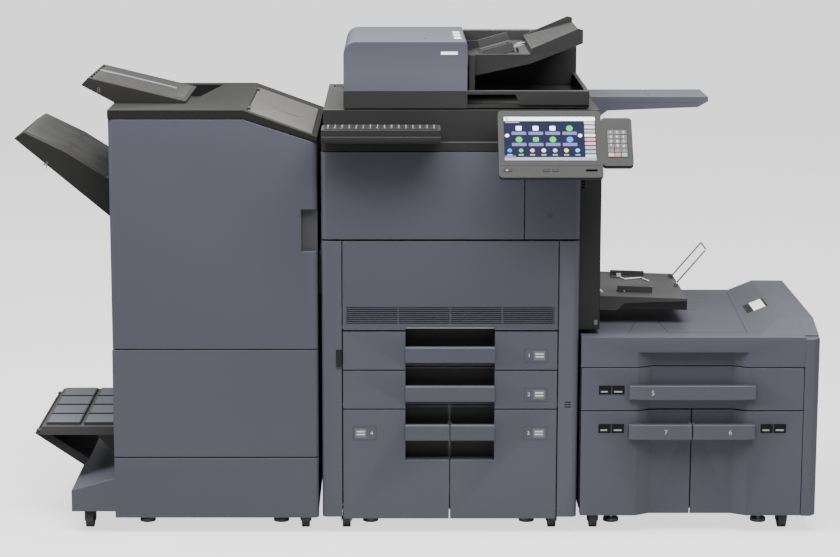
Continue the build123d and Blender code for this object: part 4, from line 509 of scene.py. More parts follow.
# ---- engine inside the main unit ----
# Toner containers and drum units, the transfer belt, the fuser's two rollers and the cooling fan. They
# show when the covers are open: sealed plastic units, a coated belt and rubber-covered steel rollers.
belt_film = surface("coated_belt_film", (0.022, 0.020, 0.020), vary=0.10, rough=(0.22, 0.34), wear=0.1)
roller_rubber = surface("roller_rubber", (0.055, 0.052, 0.050), vary=0.12, rough=(0.6, 0.75), grain=700.0,
                        relief=0.00006, wear=0.2)
engine_grey = surface("engine_plastic", (0.10, 0.10, 0.11), vary=0.10, rough=(0.45, 0.6), wear=0.3)
coat(engine_grey, "toner_and_drum_units")
coat(belt_film, "transfer_belt")
coat(roller_rubber, "fuser_heat_roller", "fuser_pressure_roller")
moulded("cooling_fan", deep, 0.5 * MM)
coat(engine_grey, "power_inlet")

# ---- scanner ----
# A dark grained housing with a projecting front lip, the platen glass let into its top, and the
# carriage that travels under the glass on two steel rods.
moulded("scanner_housing", dark, 1.2 * MM)
moulded("scan_carriage", deep, 0.6 * MM)
platen_glass, shader, add, link = node_material("platen_glass")
place = add("ShaderNodeTexCoord")
smear = add("ShaderNodeTexNoise", Scale=9.0, Detail=5.0)
haze = add("ShaderNodeMapRange")
haze.inputs["To Min"].default_value, haze.inputs["To Max"].default_value = 0.03, 0.12
tint = add("ShaderNodeMixRGB", Color1=(0.70, 0.78, 0.76, 1), Color2=(0.80, 0.86, 0.84, 1))
link(place.outputs["Object"], smear.inputs["Vector"])
link(smear.outputs["Fac"], haze.inputs["Value"])
link(smear.outputs["Fac"], tint.inputs["Fac"])
link(haze.outputs["Result"], shader.inputs["Roughness"])
link(tint.outputs["Color"], shader.inputs["Base Color"])
shader.inputs["Transmission Weight"].default_value = 0.85
shader.inputs["IOR"].default_value = 1.5
coat(platen_glass, "platen_glass")
glass_low, glass_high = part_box("platen_glass")
rim_width = 9 * MM
x0, y0, x1, y1 = glass_low.x, glass_low.y, glass_high.x, glass_high.y
borders = []
for low, high in (((x0 - rim_width, y0 - rim_width), (x1 + rim_width, y0)),
                  ((x0 - rim_width, y1), (x1 + rim_width, y1 + rim_width)),
                  ((x0 - rim_width, y0), (x0, y1)), ((x1, y0), (x1 + rim_width, y1))):
    border = block_of((*low, glass_high.z - 0.4 * MM), (*high, glass_high.z + 0.6 * MM))
    pressed(border, (0, 0, 1), 2 * MM, 0.3 * MM)
    borders.append(border)
finished(joined(borders), "platen_frame", mid_grey, "main", 0.3 * MM)

# ---- document feeder ----
# A dark base hinged to the scanner, a blue-grey feed cover with one large radius, and dark trays in two
# levels for what goes in and what comes out. Guides slide on the upper tray.
adf_low, adf_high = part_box("adf_base")
cover_low, cover_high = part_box("adf_feed_cover")
tray_low, tray_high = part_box("document_tray")
moulded("adf_base", dark, 1.0 * MM)
moulded("adf_feed_cover", body_grey, 1.0 * MM, 3)
moulded("document_tray", dark, 1.0 * MM)
coat(roller_rubber, "adf_feed_roller")
guide_dark = surface("guide_plastic", (0.028, 0.028, 0.029), vary=0.08, rough=(0.40, 0.50), wear=0.5)
moulded("front_document_guide", guide_dark, 0.7 * MM)
moulded("rear_document_guide", guide_dark, 0.7 * MM)

lamp_white = surface("indicator_white", (0.85, 0.86, 0.90), vary=0.02, rough=(0.25, 0.3), wear=0.0, dusty=0.0,
                     glow=0.35)
plate("feeder_indicator", (cover_high.x - 65 * MM, cover_low.y - 0.5 * MM, cover_high.z - 31 * MM),
      (cover_high.x - 24 * MM, cover_low.y + 2 * MM, cover_high.z - 23.5 * MM), (0, -1, 0), 0.7, 0.25,
      lamp_white, "feed_cover", 0.3)

top_z = cover_high.z
dot = rod_of((cover_high.x - 103 * MM, cover_low.y + 88 * MM, top_z - 1 * MM),
             (cover_high.x - 103 * MM, cover_low.y + 88 * MM, top_z + 0.5 * MM), 3.2 * MM)
pressed(dot, (0, 0, 1), 0.8 * MM, 0.5 * MM)
finished(dot, "feeder_status_dot", deep, "feed_cover", 0.2 * MM)
plate("feeder_release_mark", (cover_high.x - 70 * MM, cover_low.y + 80 * MM, top_z - 1 * MM),
      (cover_high.x - 46 * MM, cover_low.y + 97 * MM, top_z + 0.5 * MM), (0, 0, 1), 1.5, 0.6, mid_grey,
      "feed_cover", 0.5)
plate("feeder_lamp_panel", (cover_high.x - 34 * MM, cover_low.y + 60 * MM, top_z - 1 * MM),
      (cover_high.x - 9 * MM, cover_low.y + 290 * MM, top_z + 0.4 * MM), (0, 0, 1), 2.0, 0.5, card,
      "feed_cover", 0.5)
for k in range(3):
    y = cover_low.y + (86 + 74 * k) * MM
    plate(f"feeder_lamp_{k}", (cover_high.x - 30 * MM, y, top_z - 0.6 * MM),
          (cover_high.x - 13 * MM, y + 46 * MM, top_z + 0.5 * MM), (0, 0, 1), 1.2, -0.15,
          lamp_white if k == 0 else chalk, "feed_cover", 0.3)

# ribs and inlays of the upper tray, which follow its slope
slope_rise = 0.28
slope_x = tray_low.x
slope_z = adf_low.z + 99 * MM
slope_turn = Matrix.Rotation(-math.atan(slope_rise), 4, "Y")


def on_slope(piece, along, across):
    """Lays a piece that was made flat at the origin on the tray, along its slope."""
    place = Matrix.Translation((slope_x + along * math.cos(math.atan(slope_rise)), across,
                                slope_z + along * math.sin(math.atan(slope_rise))))
    piece.data.transform(place @ slope_turn)


tray_ribs = []
for k in range(7):
    rib = block_of((0, -1.2 * MM, -0.5 * MM), (78 * MM, 1.2 * MM, 1.0 * MM))
    pressed(rib, (0, 0, 1), 0.5 * MM, -0.3 * MM)
    on_slope(rib, 168 * MM, tray_low.y + (70 + 40 * k) * MM)
    tray_ribs.append(rib)
finished(joined(tray_ribs), "document_tray_ribs", guide_dark, "document_tray", 0.3 * MM)
size_marks = []
for k, length in enumerate((26, 18, 26, 14)):
    mark = block_of((0, -1.0 * MM, -0.3 * MM), (length * MM, 1.0 * MM, 0.25 * MM))
    pressed(mark, (0, 0, 1), 0.3 * MM, 0.05 * MM)
    on_slope(mark, (122 + 4 * k) * MM, tray_low.y + (150 + 24 * k) * MM)
    size_marks.append(mark)
finished(joined(size_marks), "paper_size_marks", chalk, "document_tray", 0.1 * MM)
stop = block_of((0, -22 * MM, -0.5 * MM), (5 * MM, 22 * MM, 9 * MM))
pressed(stop, (0, 0, 1), 1.2 * MM, 0.6 * MM)
on_slope(stop, 126 * MM, tray_low.y + 44 * MM)
finished(stop, "document_stop", deep, "document_tray", 0.6 * MM)
inlay = block_of((0, -62 * MM, -0.5 * MM), (70 * MM, 62 * MM, 0.8 * MM))
pressed(inlay, (0, 0, 1), 6 * MM, 0.5 * MM)
on_slope(inlay, 34 * MM, tray_high.y - 110 * MM)
finished(inlay, "document_tray_inlay", deep, "document_tray", 0.5 * MM)

# rear wall of the feeder: three capped lengths with seams between them
wall_y = adf_high.y - 40 * MM
wall_top = max(v.co.z for v in frame["nodes"]["adf_base"].data.vertices)
for k, (x0, x1) in enumerate(((2, 80), (82, 178), (180, 296))):
    plate(f"feeder_wall_cap_{k}", (cover_high.x + x0 * MM, wall_y - 24 * MM, wall_top - 1 * MM),
          (cover_high.x + x1 * MM, wall_y - 3 * MM, wall_top + 2 * MM), (0, 0, 1), 1.5, -0.4, mid_grey,
          "document_feeder", 0.8)

# ---- operation panel ----
# A tilting grey housing on an arm, with a colour touch screen behind glass, a strip with a few keys,
# and a keypad that hangs on its right side. The screen shows plain round and square tiles.
panel_body = BODY_OF["operation_panel"]
display = frame["nodes"]["display"].data
across = Vector((1, 0, 0))
facing = [p for p in display.polygons if p.normal.y < -0.2 and p.normal.z > 0.1]
out = max(facing, key=lambda p: p.area).normal.copy()
up = out.cross(across).normalized()
if up.z < 0:
    up = -up


def extent(mesh, way):
    """The lowest and the highest place of a mesh along one direction."""
    places = [v.co.dot(way) for v in mesh.vertices]
    return min(places), max(places)


corner_u, far_u = extent(display, across)
corner_v, far_v = extent(display, up)
glass_w = extent(display, out)[1]
panel_turn = Matrix((across, up, out)).transposed()


def on_panel(piece):
    """Lays a piece that was made flat, with its origin at the screen's lower left corner, on the panel."""
    origin = across * corner_u + up * corner_v + out * glass_w
    piece.data.transform(Matrix.Translation(origin) @ panel_turn.to_4x4())
    return piece


panel_grey = surface("panel_grey_plastic", (0.034, 0.034, 0.0335), vary=0.05, rough=(0.45, 0.55),
                     wear=0.3, dusty=0.0, gloss=0.05)
keypad_grey = surface("keypad_grey_plastic", (0.018, 0.018, 0.018), vary=0.06, rough=(0.42, 0.5),
                      wear=0.5, dusty=0.0, gloss=0.05)
moulded("operation_panel", panel_grey, 1.0 * MM)
moulded("panel_arm", dark, 1.0 * MM)
moulded("panel_keys", keypad_grey, 0.5 * MM)


def lit(name, tone, glow):
    """A part of what the screen shows: a colour that glows evenly, with a faint grid of cells."""
    material, shader, add, link = node_material(name)
    place = add("ShaderNodeTexCoord")
    grid = add("ShaderNodeTexVoronoi", Scale=1500.0)
    low = tuple(c * 0.86 for c in tone) + (1,)
    shade = add("ShaderNodeMixRGB", Color1=low, Color2=tuple(tone) + (1,))
    link(place.outputs["Object"], grid.inputs["Vector"])
    link(grid.outputs["Distance"], shade.inputs["Fac"])
    link(shade.outputs["Color"], shader.inputs["Base Color"])
    link(shade.outputs["Color"], shader.inputs["Emission Color"])
    shader.inputs["Emission Strength"].default_value = glow
    shader.inputs["Roughness"].default_value = 0.25
    shader.inputs["Specular IOR Level"].default_value = 0.0
    return material


screen_field = lit("screen_field", (0.012, 0.014, 0.030), 0.5)
screen_white = lit("screen_white", (0.78, 0.80, 0.84), 0.45)
screen_label = lit("screen_label", (0.12, 0.10, 0.25), 0.4)
screen_bar = lit("screen_bar", (0.22, 0.24, 0.28), 0.4)
tones = {
    "green": (0.02, 0.40, 0.06), "blue": (0.01, 0.17, 0.62), "sky": (0.02, 0.42, 0.68),
    "cream": (0.75, 0.56, 0.30), "silver": (0.36, 0.38, 0.42), "yellow": (0.72, 0.50, 0.02),
    "rose": (0.62, 0.20, 0.20),
}
screen_tones = {key: lit("screen_" + key, tone, 0.35) for key, tone in tones.items()}
screen_tones["white"] = screen_white
coat(screen_field, "display")


def tile(name, u0, v0, u1, v1, material, lift=0.15, edge=1.2):
    """A flat rounded tile on the screen: places in millimetres from the lower left corner."""
    piece = block_of((u0 * MM, v0 * MM, 0.01 * MM), (u1 * MM, v1 * MM, lift * MM))
    only(piece)
    bpy.ops.object.mode_set(mode="EDIT")
    bpy.ops.mesh.select_mode(type="EDGE")
    bpy.ops.mesh.select_all(action="DESELECT")
    bpy.ops.object.mode_set(mode="OBJECT")
    for e in piece.data.edges:
        a, b = (piece.data.vertices[v].co for v in e.vertices)
        e.select = abs(a.z - b.z) > 0.05 * MM
    bpy.ops.object.mode_set(mode="EDIT")
    bpy.ops.mesh.bevel(offset=edge * MM, segments=3, affect="EDGES")
    bpy.ops.object.mode_set(mode="OBJECT")
    return finished(on_panel(piece), name, material, panel_body, 0)


def disc(name, u, v, radius, material, lift=0.25):
    """A round tile on the screen with a small domed rim."""
    piece = rod_of((u * MM, v * MM, 0.01 * MM), (u * MM, v * MM, lift * MM), radius * MM, 28)
    pressed(piece, (0, 0, 1), radius * 0.25 * MM, -0.06 * MM)
    return finished(on_panel(piece), name, material, panel_body, 0)


wide, tall = (far_u - corner_u) / MM, (far_v - corner_v) / MM
tile("screen_top_bar", 0.6, tall - 12, wide - 0.6, tall - 0.6, screen_white)
tile("screen_bottom_bar", 0.6, 0.6, wide - 0.6, 9.5, screen_bar)
tile("screen_heading", 4, tall - 17.5, 38, tall - 14.5, screen_bar, edge=0.8)
disc("screen_badge", 7, tall - 6.2, 4.0, screen_tones["silver"])
tile("screen_corner_tab", 1, 7, 27, 14, screen_label, 0.3)
icons = (("white", "white", "white", "green"), ("green", "green", "green", "blue"))
icon_step_u, icon_step_v = 41, 32
for row, line in enumerate(icons):
    for column, key in enumerate(line):
        u = 36 + column * icon_step_u
        v = tall - 34 - row * icon_step_v
        kind = f"screen_icon_{row}_{column}"
        if key == "white" or (row, column) == (1, 1):
            tile(kind, u - 7, v - 5.5, u + 7, v + 7, screen_tones[key], 0.3, 2.0)
        else:
            disc(kind, u, v + 0.6, 8.0, screen_tones[key], 0.3)
        tile(f"screen_caption_{row}_{column}", u - 17.5, v - 18, u + 17.5, v - 9, screen_label, 0.2)
for side, u in (("left", 7.5), ("right", 184.0)):
    disc("screen_arrow_" + side, u, tall - 54, 5.0, screen_white, 0.3)
function_step = 27.3
for k, key in enumerate(("blue", "green", "rose", "cream", "silver", "yellow", "sky")):
    u = 13 + k * function_step
    disc(f"screen_function_{k}", u, 28.5, 5.4, screen_tones[key], 0.3)
    tile(f"screen_function_name_{k}", u - 6, 14.5, u + 6, 18, screen_bar, 0.2, 0.6)
for k, key in enumerate(("silver", "silver", "bar", "cream", "bar", "rose", "bar", "bar", "silver")):
    v = tall - 22 - k * 11.8
    material = screen_bar if key == "bar" else screen_tones[key]
    tile(f"screen_side_key_{k}", wide - 27, v, wide - 1.5, v + 8.6, material, 0.25, 1.0)

# strip below the screen: a groove and a status lamp
strip = block_of((-11 * MM, -14.6 * MM, -2.0 * MM), (233 * MM, -13.8 * MM, 0.9 * MM))
pressed(strip, (0, 0, 1), 0.2 * MM, 0.1 * MM)
finished(on_panel(strip), "panel_strip_groove", keypad_grey, panel_body, 0.15 * MM)
lamp = rod_of((5 * MM, -28 * MM, -1 * MM), (5 * MM, -28 * MM, 1.6 * MM), 2.4 * MM, 20)
pressed(lamp, (0, 0, 1), 0.7 * MM, 0.2 * MM)
finished(on_panel(lamp), "panel_status_lamp", lamp_white, panel_body, 0.2 * MM)

# keypad: dished keys, pale figures on the number keys and a tinted bottom row
pad = merged_copy("keypad_keys")
pressed(pad, out, 1.6 * MM, 0.5 * MM)
key_dark = surface("key_dark_plastic", (0.030, 0.030, 0.032), vary=0.08, rough=(0.35, 0.45), wear=0.4)
finished(pad, "keypad_keys_dished", key_dark, "keypad_keys", 0.5 * MM)
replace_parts(pad, "keypad_keys")
pad_mesh = frame["nodes"]["keypad_keys"].data
pad_u0, pad_u1 = extent(pad_mesh, across)
pad_v0, pad_v1 = extent(pad_mesh, up)
pad_w = extent(pad_mesh, out)[1]
key_columns, key_rows = 3, 6
key_wide, key_tall = (pad_u1 - pad_u0) / key_columns, (pad_v1 - pad_v0) / key_rows
figures = ("123", "456", "789", "*0#", "---")
for row, line in enumerate(figures):
    for column, figure in enumerate(line):
        u = pad_u0 + key_wide * (column + 0.5)
        v = pad_v1 - key_tall * (row + 0.5)
        middle = across * u + up * v + out * (pad_w - 0.35 * MM)
        printed(figure, 8.5 * MM, middle, chalk, f"keypad_figure_{row}_{column}", "keypad_keys",
                turn=panel_turn)
for column, (name, tone) in enumerate((("stop", (0.30, 0.22, 0.05)), ("reset", (0.30, 0.05, 0.04)),
                                       ("start", (0.03, 0.22, 0.13)))):
    # painted light: the tinted keys glow faintly, though they are no lamps
    tint = surface(f"key_tint_{name}", tone, vary=0.08, rough=(0.3, 0.4), wear=0.2, glow=0.1)
    u = pad_u0 + key_wide * (column + 0.5) - corner_u
    v = pad_v0 + key_tall * 0.5 - corner_v
    w = pad_w - glass_w
    cap = block_of((u - 6.6 * MM, v - 5.0 * MM, w - 0.8 * MM), (u + 6.6 * MM, v + 5.0 * MM, w + 0.2 * MM))
    pressed(cap, (0, 0, 1), 2.0 * MM, 0.35 * MM)
    finished(on_panel(cap), f"key_{name}", tint, "keypad_keys", 0.4 * MM)

# ---- keyboard ----
# A slim dark keyboard on a holder in front of the scanner; its caps are dished and slightly worn.
moulded("keyboard_holder", dark, 1.2 * MM)
moulded("keyboard", dark, 0.8 * MM)
caps = merged_copy("keyboard_keys")
pressed(caps, (0, 0, 1), 1.8 * MM, 0.5 * MM)
finished(caps, "keyboard_caps", keypad_grey, "keyboard_keys", 0.6 * MM, 1)
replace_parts(caps, "keyboard_keys")
key_low, key_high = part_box("keyboard_keys")
cap_marks = []
for column in range(16):
    for row in range(1, 5):
        x = key_low.x + (key_high.x - key_low.x) * (column + 0.42) / 16
        y = key_low.y + (key_high.y - key_low.y) * (row + 0.55) / 5
        mark = block_of((x, y, key_high.z - 0.6 * MM), (x + 3.2 * MM, y + 2.6 * MM, key_high.z - 0.35 * MM))
        cap_marks.append(mark)
marks = joined(cap_marks)
pressed(marks, (0, 0, 1), 0.8 * MM, 0.1 * MM)
finished(marks, "keyboard_cap_marks", chalk, "keyboard_keys", 0)

# ---- document table ----
# A blue-grey shelf on the scanner's right side, of two mouldings with a seam, on a short bracket.
table_low, table_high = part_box("document_table")
moulded("document_table", body_grey, 1.5 * MM, 3)
plate("document_table_groove", (table_low.x + 46 * MM, table_low.y - 0.3 * MM, table_high.z - 15 * MM),
      (table_high.x - 14 * MM, table_low.y + 1 * MM, table_high.z - 13.6 * MM), (0, -1, 0), 0.3, 0.15,
      mid_grey, "main", 0.15)

# ---- tower and bypass tray ----
# The dark tower holds the bypass unit. Its tray folds down, and carries two guides with small levers,
# a bent wire that supports long sheets, and pale arcs of the paper path at its root.
moulded("tower_cover", dark, 1.0 * MM)
tower_low, tower_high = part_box("tower_cover")
plate("tower_mark", (tower_high.x - 14 * MM, tower_low.y - 0.4 * MM, tower_low.z + 12 * MM),
      (tower_high.x - 6 * MM, tower_low.y + 1 * MM, tower_low.z + 24 * MM), (0, -1, 0), 1.4, 0.2, card,
      "main", 0.3)

bypass_low, bypass_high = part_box("bypass_tray")
bypass_dark = surface("bypass_tray_plastic", (0.046, 0.045, 0.045), vary=0.10, rough=(0.42, 0.54),
                      wear=0.5, gloss=0.2)
moulded("bypass_tray", bypass_dark, 0.9 * MM)
moulded("front_bypass_guide", guide_dark, 0.6 * MM)
moulded("rear_bypass_guide", guide_dark, 0.6 * MM)
wire = surface("bright_steel_wire", (0.62, 0.62, 0.63), vary=0.06, rough=(0.18, 0.3), grain=600.0,
               relief=0.00001, wear=0.1, dusty=0.0, metal=1.0)
coat(wire, "bypass_extension")
fall = 8.0 / 239.0


def on_bypass(low, high):
    """A block on the bypass tray: its heights count from the tray's sloping top."""
    piece = block_of(low, high)
    for v in piece.data.vertices:
        v.co.z += bypass_top - (v.co.x - bypass_low.x) * fall
    return piece


front_strip = [v.co for v in frame["nodes"]["bypass_tray"].data.vertices if v.co.y < bypass_low.y + 40 * MM]
bypass_top = max(p.z for p in front_strip if bypass_low.x + 60 * MM < p.x < bypass_high.x) + 7.9 * MM
ribs = []
for k in range(9):
    y = bypass_low.y + (24 + 35 * k) * MM
    rib = on_bypass((bypass_low.x + 168 * MM, y, -1 * MM), (bypass_high.x - 26 * MM, y + 2 * MM, 1.0 * MM))
    pressed(rib, (0, 0, 1), 0.5 * MM, -0.2 * MM)
    ribs.append(rib)
finished(joined(ribs), "bypass_tray_ribs", guide_dark, "bypass_tray", 0.3 * MM)

# light levers of the two bypass guides, and the pale paper-path arcs at the tray's root
pale = surface("pale_grey_plastic", (0.40, 0.41, 0.43), vary=0.05, rough=(0.35, 0.45), wear=0.3)
for name in ("front_bypass_guide", "rear_bypass_guide"):
    low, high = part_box(name)
    plate(name + "_lever", (low.x + 16 * MM, (low.y + high.y) / 2 - 7 * MM, low.z + 3.5 * MM),
          (low.x + 28 * MM, (low.y + high.y) / 2 + 7 * MM, low.z + 12 * MM), (0, 0, 1), 1.5, 1.0, pale,
          name, 0.8)
root_x, root_z = bypass_low.x + 24 * MM, bypass_top - 10 * MM
for name, y in (("front", bypass_low.y + 40 * MM), ("rear", bypass_high.y - 70 * MM)):
    arc = rod_of((root_x, y, root_z), (root_x, y + 30 * MM, root_z), 17 * MM, 36)
    pressed(arc, (0, -1, 0), 3 * MM, 1 * MM)
    finished(arc, f"paper_path_arc_{name}", pale, "bypass_tray", 0.8 * MM)
feed_plate = on_bypass((bypass_low.x + 66 * MM, bypass_low.y + 128 * MM, -1 * MM),
                       (bypass_low.x + 150 * MM, bypass_high.y - 128 * MM, 0.9 * MM))
pressed(feed_plate, (0, 0, 1), 5 * MM, 0.5 * MM)
finished(feed_plate, "bypass_feed_plate", mid_grey, "bypass_tray", 0.5 * MM)

# rim walls that hang under the tray's edges and stiffen it
x0, x1, y0, y1 = bypass_low.x + 62 * MM, bypass_high.x, bypass_low.y, bypass_high.y
wall_thick = 3 * MM
walls = []
for low, high, out in (((x0, y0), (x1, y0 + wall_thick), (0, -1, 0)),
                       ((x0, y1 - wall_thick), (x1, y1), (0, 1, 0)),
                       ((x1 - wall_thick, y0 + wall_thick), (x1, y1 - wall_thick), (1, 0, 0))):
    wall = on_bypass((*low, -27 * MM), (*high, -3 * MM))
    pressed(wall, out, 4 * MM, 0.6 * MM)
    walls.append(wall)
finished(joined(walls), "bypass_tray_walls", dark, "bypass_tray", 0.6 * MM)

# bent wire hoops that keep long sheets flat, lying on the tray
HOOP_R = 2.0 * MM
hoops = []
for y0, lead in ((bypass_low.y + 60 * MM, 1), (bypass_high.y - 60 * MM, -1)):
    x0 = bypass_low.x + 92 * MM
    points = [Vector((x0, y0, 3)), Vector((x0 + 16 * MM, y0 + lead * 50 * MM, 3)),
              Vector((x0 + 62 * MM, y0 + lead * 22 * MM, 3)), Vector((x0 + 78 * MM, y0 + lead * 64 * MM, 3))]
    for p in points:
        p.z = bypass_top - (p.x - bypass_low.x) * fall + 5.0 * MM
    for a, b in zip(points, points[1:]):
        hoops.append(rod_of(a, b, HOOP_R, 10))
    for p in points:
        bpy.ops.object.select_all(action="DESELECT")
        bpy.ops.mesh.primitive_uv_sphere_add(segments=12, ring_count=8, radius=HOOP_R, location=p)
        bpy.ops.object.transform_apply(location=True, rotation=True, scale=True)
        hoops.append(bpy.context.object)
white_wire = surface("white_coated_wire", (0.70, 0.70, 0.70), vary=0.04, rough=(0.3, 0.4), wear=0.2,
                     dusty=0.0)
finished(joined(hoops), "bypass_wire_hoops", white_wire, "bypass_tray", 0)

# ---- finisher ----
# A tall cabinet beside the main unit. A steel box carries a blue-grey door and lower covers; on top are
# a dark deck with a recess for sheets and a hinged cover with a shallow grip.
for cover in ("finisher_door", "finisher_lower_covers"):
    moulded(cover, body_grey, 1.2 * MM)
deck_dark = surface("deck_dark_plastic", (0.0075, 0.0073, 0.0072), vary=0.08, rough=(0.5, 0.6),
                    relief=0.00005, grain=900.0, wear=0.5, dusty=0.03, gloss=0.1)
lid_grey = surface("lid_grey_plastic", (0.056, 0.054, 0.053), vary=0.06, rough=(0.36, 0.44), wear=0.4)
moulded("finisher_cabinet", body_grey, 1.0 * MM)
moulded("finisher_top_deck", deck_dark, 1.4 * MM)
moulded("finisher_lid", lid_grey, 0.9 * MM)
coat(roller_rubber, "eject_roller")
door_low, door_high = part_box("finisher_door")
deck_low, deck_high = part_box("finisher_top_deck")
lid_low, lid_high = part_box("finisher_lid")

# dark back of the door's grip
plate("door_grip_liner", (door_high.x - 40.5 * MM, door_low.y + 13.6 * MM, door_low.z + 247.5 * MM),
      (door_high.x - 0.6 * MM, door_low.y + 15.3 * MM, door_low.z + 351.5 * MM), (0, -1, 0), 2.5, 0.5,
      mid_grey, "finisher_door", 0.3)

# painted shade: a very dark sheet lies in the well behind tray B, darker than the deck
tray_b_low, tray_b_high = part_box("tray_b")
plate("deck_well_painted_shade", (deck_low.x + 64 * MM, deck_high.y - 298 * MM, deck_high.z - 33.8 * MM),
      (deck_low.x + 197 * MM, deck_high.y - 47 * MM, deck_high.z - 31.5 * MM), (0, 0, 1), 6, 0.8, deep,
      "main", 0.5)

lid_mesh = frame["nodes"]["finisher_lid"].data
lid_low = Vector((min(v.co.x for v in lid_mesh.vertices) + 4 * MM, lid_low.y, lid_low.z))
lid_high = Vector((lid_high.x, lid_high.y, lid_high.z - 4 * MM))
lid_fall = (lid_high.z - lid_low.z - 8 * MM) / (lid_high.x - lid_low.x)
lid_turn = Matrix.Rotation(math.atan(lid_fall), 4, "Y")


def on_lid(piece, along, back):
    """Lays a piece that was made flat at the origin on the sloping lid."""
    place = Matrix.Translation((lid_low.x + along, lid_low.y + back, lid_high.z - lid_fall * along))
    piece.data.transform(place @ lid_turn)


# the grip is shaped like a swoosh: a disc drawn out and bowed
bpy.ops.object.select_all(action="DESELECT")
bpy.ops.mesh.primitive_circle_add(vertices=32, radius=1.0, fill_type="NGON", location=(0, 0, 0))
swoosh = bpy.context.object
for v in swoosh.data.vertices:
    x, y = v.co.x, v.co.y
    v.co = (x * 44 * MM, (y * 15 + x * x * 16 - x * 12) * MM, 0)
only(swoosh)
bpy.ops.object.mode_set(mode="EDIT")
bpy.ops.mesh.select_mode(type="FACE")
bpy.ops.mesh.select_all(action="SELECT")
bpy.ops.mesh.extrude_region_move(TRANSFORM_OT_translate={"value": (0, 0, 0.9 * MM)})
bpy.ops.mesh.select_all(action="SELECT")
bpy.ops.mesh.normals_make_consistent(inside=False)
bpy.ops.object.mode_set(mode="OBJECT")
pressed(swoosh, (0, 0, 1), 4 * MM, 0.8 * MM)
on_lid(swoosh, 76 * MM, 210 * MM)
finished(swoosh, "lid_grip", lid_grey, "finisher_lid", 0.3 * MM)

# ---- output trays A and B ----
# Dark mouldings with a contoured, ribbed bed: A rises and falls on the cabinet's side, B is fixed.
tray_dark = surface("tray_dark_plastic", (0.013, 0.0125, 0.012), vary=0.10, rough=(0.42, 0.54),
                    wear=0.6, dusty=0.03, gloss=0.15)
tray_bed = surface("tray_bed_grey_plastic", (0.017, 0.0166, 0.0163), vary=0.12, rough=(0.34, 0.46),
                   wear=0.6, dusty=0.04, gloss=0.2)
moulded("tray_a", tray_dark, 2.0 * MM, 3)
moulded("tray_b", tray_dark, 1.6 * MM, 3)


def swept_bed(name, profile, y0, y1, lift, ribs, body, material):
    """A contoured bed: a strip along the tray's upper edge, swept across with raised lengthwise ribs."""
    steps = ribs * 8
    points = [Vector((x, 0, z)) for x, z in profile]
    verts, faces = [], []
    for j in range(steps + 1):
        share = j / steps
        y = y0 + (y1 - y0) * share
        wave = abs(math.sin(share * math.pi * ribs)) ** 0.6 * lift
        crown = math.sin(share * math.pi) * lift * 1.2
        for i, p in enumerate(points):
            fade = min(1.0, i / 2, (len(points) - 1 - i) / 2)
            verts.append((p.x, y, p.z + wave * fade + crown))
    row = len(points)
    for j in range(steps):
        for i in range(row - 1):
            a = j * row + i
            faces.append((a, a + 1, a + row + 1, a + row))
    mesh = bpy.data.meshes.new(name)
    mesh.from_pydata(verts, [], faces)
    piece = bpy.data.objects.new(name, mesh)
    bpy.context.scene.collection.objects.link(piece)
    only(piece)
    bpy.ops.object.mode_set(mode="EDIT")
    bpy.ops.mesh.select_all(action="SELECT")
    bpy.ops.mesh.normals_make_consistent(inside=False)
    bpy.ops.object.mode_set(mode="OBJECT")
    if sum(f.normal.z for f in mesh.polygons) < 0:
        bpy.ops.object.mode_set(mode="EDIT")
        bpy.ops.mesh.flip_normals()
        bpy.ops.object.mode_set(mode="OBJECT")
    wall = piece.modifiers.new("wall", "SOLIDIFY")
    wall.thickness, wall.offset = 1.6 * MM, -1.0
    bpy.ops.object.modifier_apply(modifier="wall")
    return finished(piece, name, material, body, 0, angle=50)


def bezier(a, b, c, d, steps=10):
    """Points along a smooth curve in X and Z."""
    found = []
    for k in range(steps + 1):
        t = k / steps
        s = 1 - t
        found.append(tuple(s ** 3 * a[i] + 3 * s * s * t * b[i] + 3 * s * t * t * c[i] + t ** 3 * d[i]
                           for i in range(2)))
    return found


a_low, a_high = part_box("tray_a")
edge_x = door_low.x - 0.4 * MM
tip = (a_low.x + 27 * MM, a_high.z - 0.4 * MM)
knee = (edge_x - 118 * MM, a_high.z - 50 * MM)
foot = (edge_x - 20 * MM, a_high.z - 113.5 * MM)
bed_a = bezier(tip, (knee[0] - 40 * MM, knee[1] + 17 * MM),
               (knee[0] + 42 * MM, knee[1] - 27 * MM), foot, 14)
swept_bed("tray_a_bed", bed_a, a_low.y + 26 * MM, a_high.y - 10 * MM, 3.0 * MM, 3, "tray_a", tray_bed)
deck_z = deck_high.z
bed_b = bezier((deck_low.x - 55 * MM, deck_z + 62 * MM), (deck_low.x + 10 * MM, deck_z + 46 * MM),
               (deck_low.x + 90 * MM, deck_z + 26 * MM), (deck_low.x + 172 * MM, deck_z + 7.5 * MM), 8)
swept_bed("tray_b_bed", bed_b, tray_b_low.y + 14 * MM, tray_b_high.y - 10 * MM, 1.6 * MM, 6, "main", tray_bed)
swept_bed("tray_b_light_strip", [(x, z + 2.5 * MM) for x, z in bed_b[:-1]], tray_b_low.y + 176 * MM,
          tray_b_low.y + 200 * MM, 1.0 * MM, 1, "main", card)
printed("A", 24 * MM, (a_low.x + 78 * MM, a_low.y - 0.1 * MM, a_high.z - 82 * MM), mid_grey, "tray_a_letter",
        "tray_a", turn=Matrix.Rotation(math.radians(34), 3, "Y") @ Matrix.Rotation(math.pi / 2, 3, "X"))
printed("B", 18 * MM, (tray_b_low.x + 44 * MM, tray_b_low.y - 0.1 * MM, tray_b_high.z - 32 * MM), mid_grey,
        "tray_b_letter", "main",
        turn=Matrix.Rotation(math.radians(14), 3, "Y") @ Matrix.Rotation(math.pi / 2, 3, "X"))

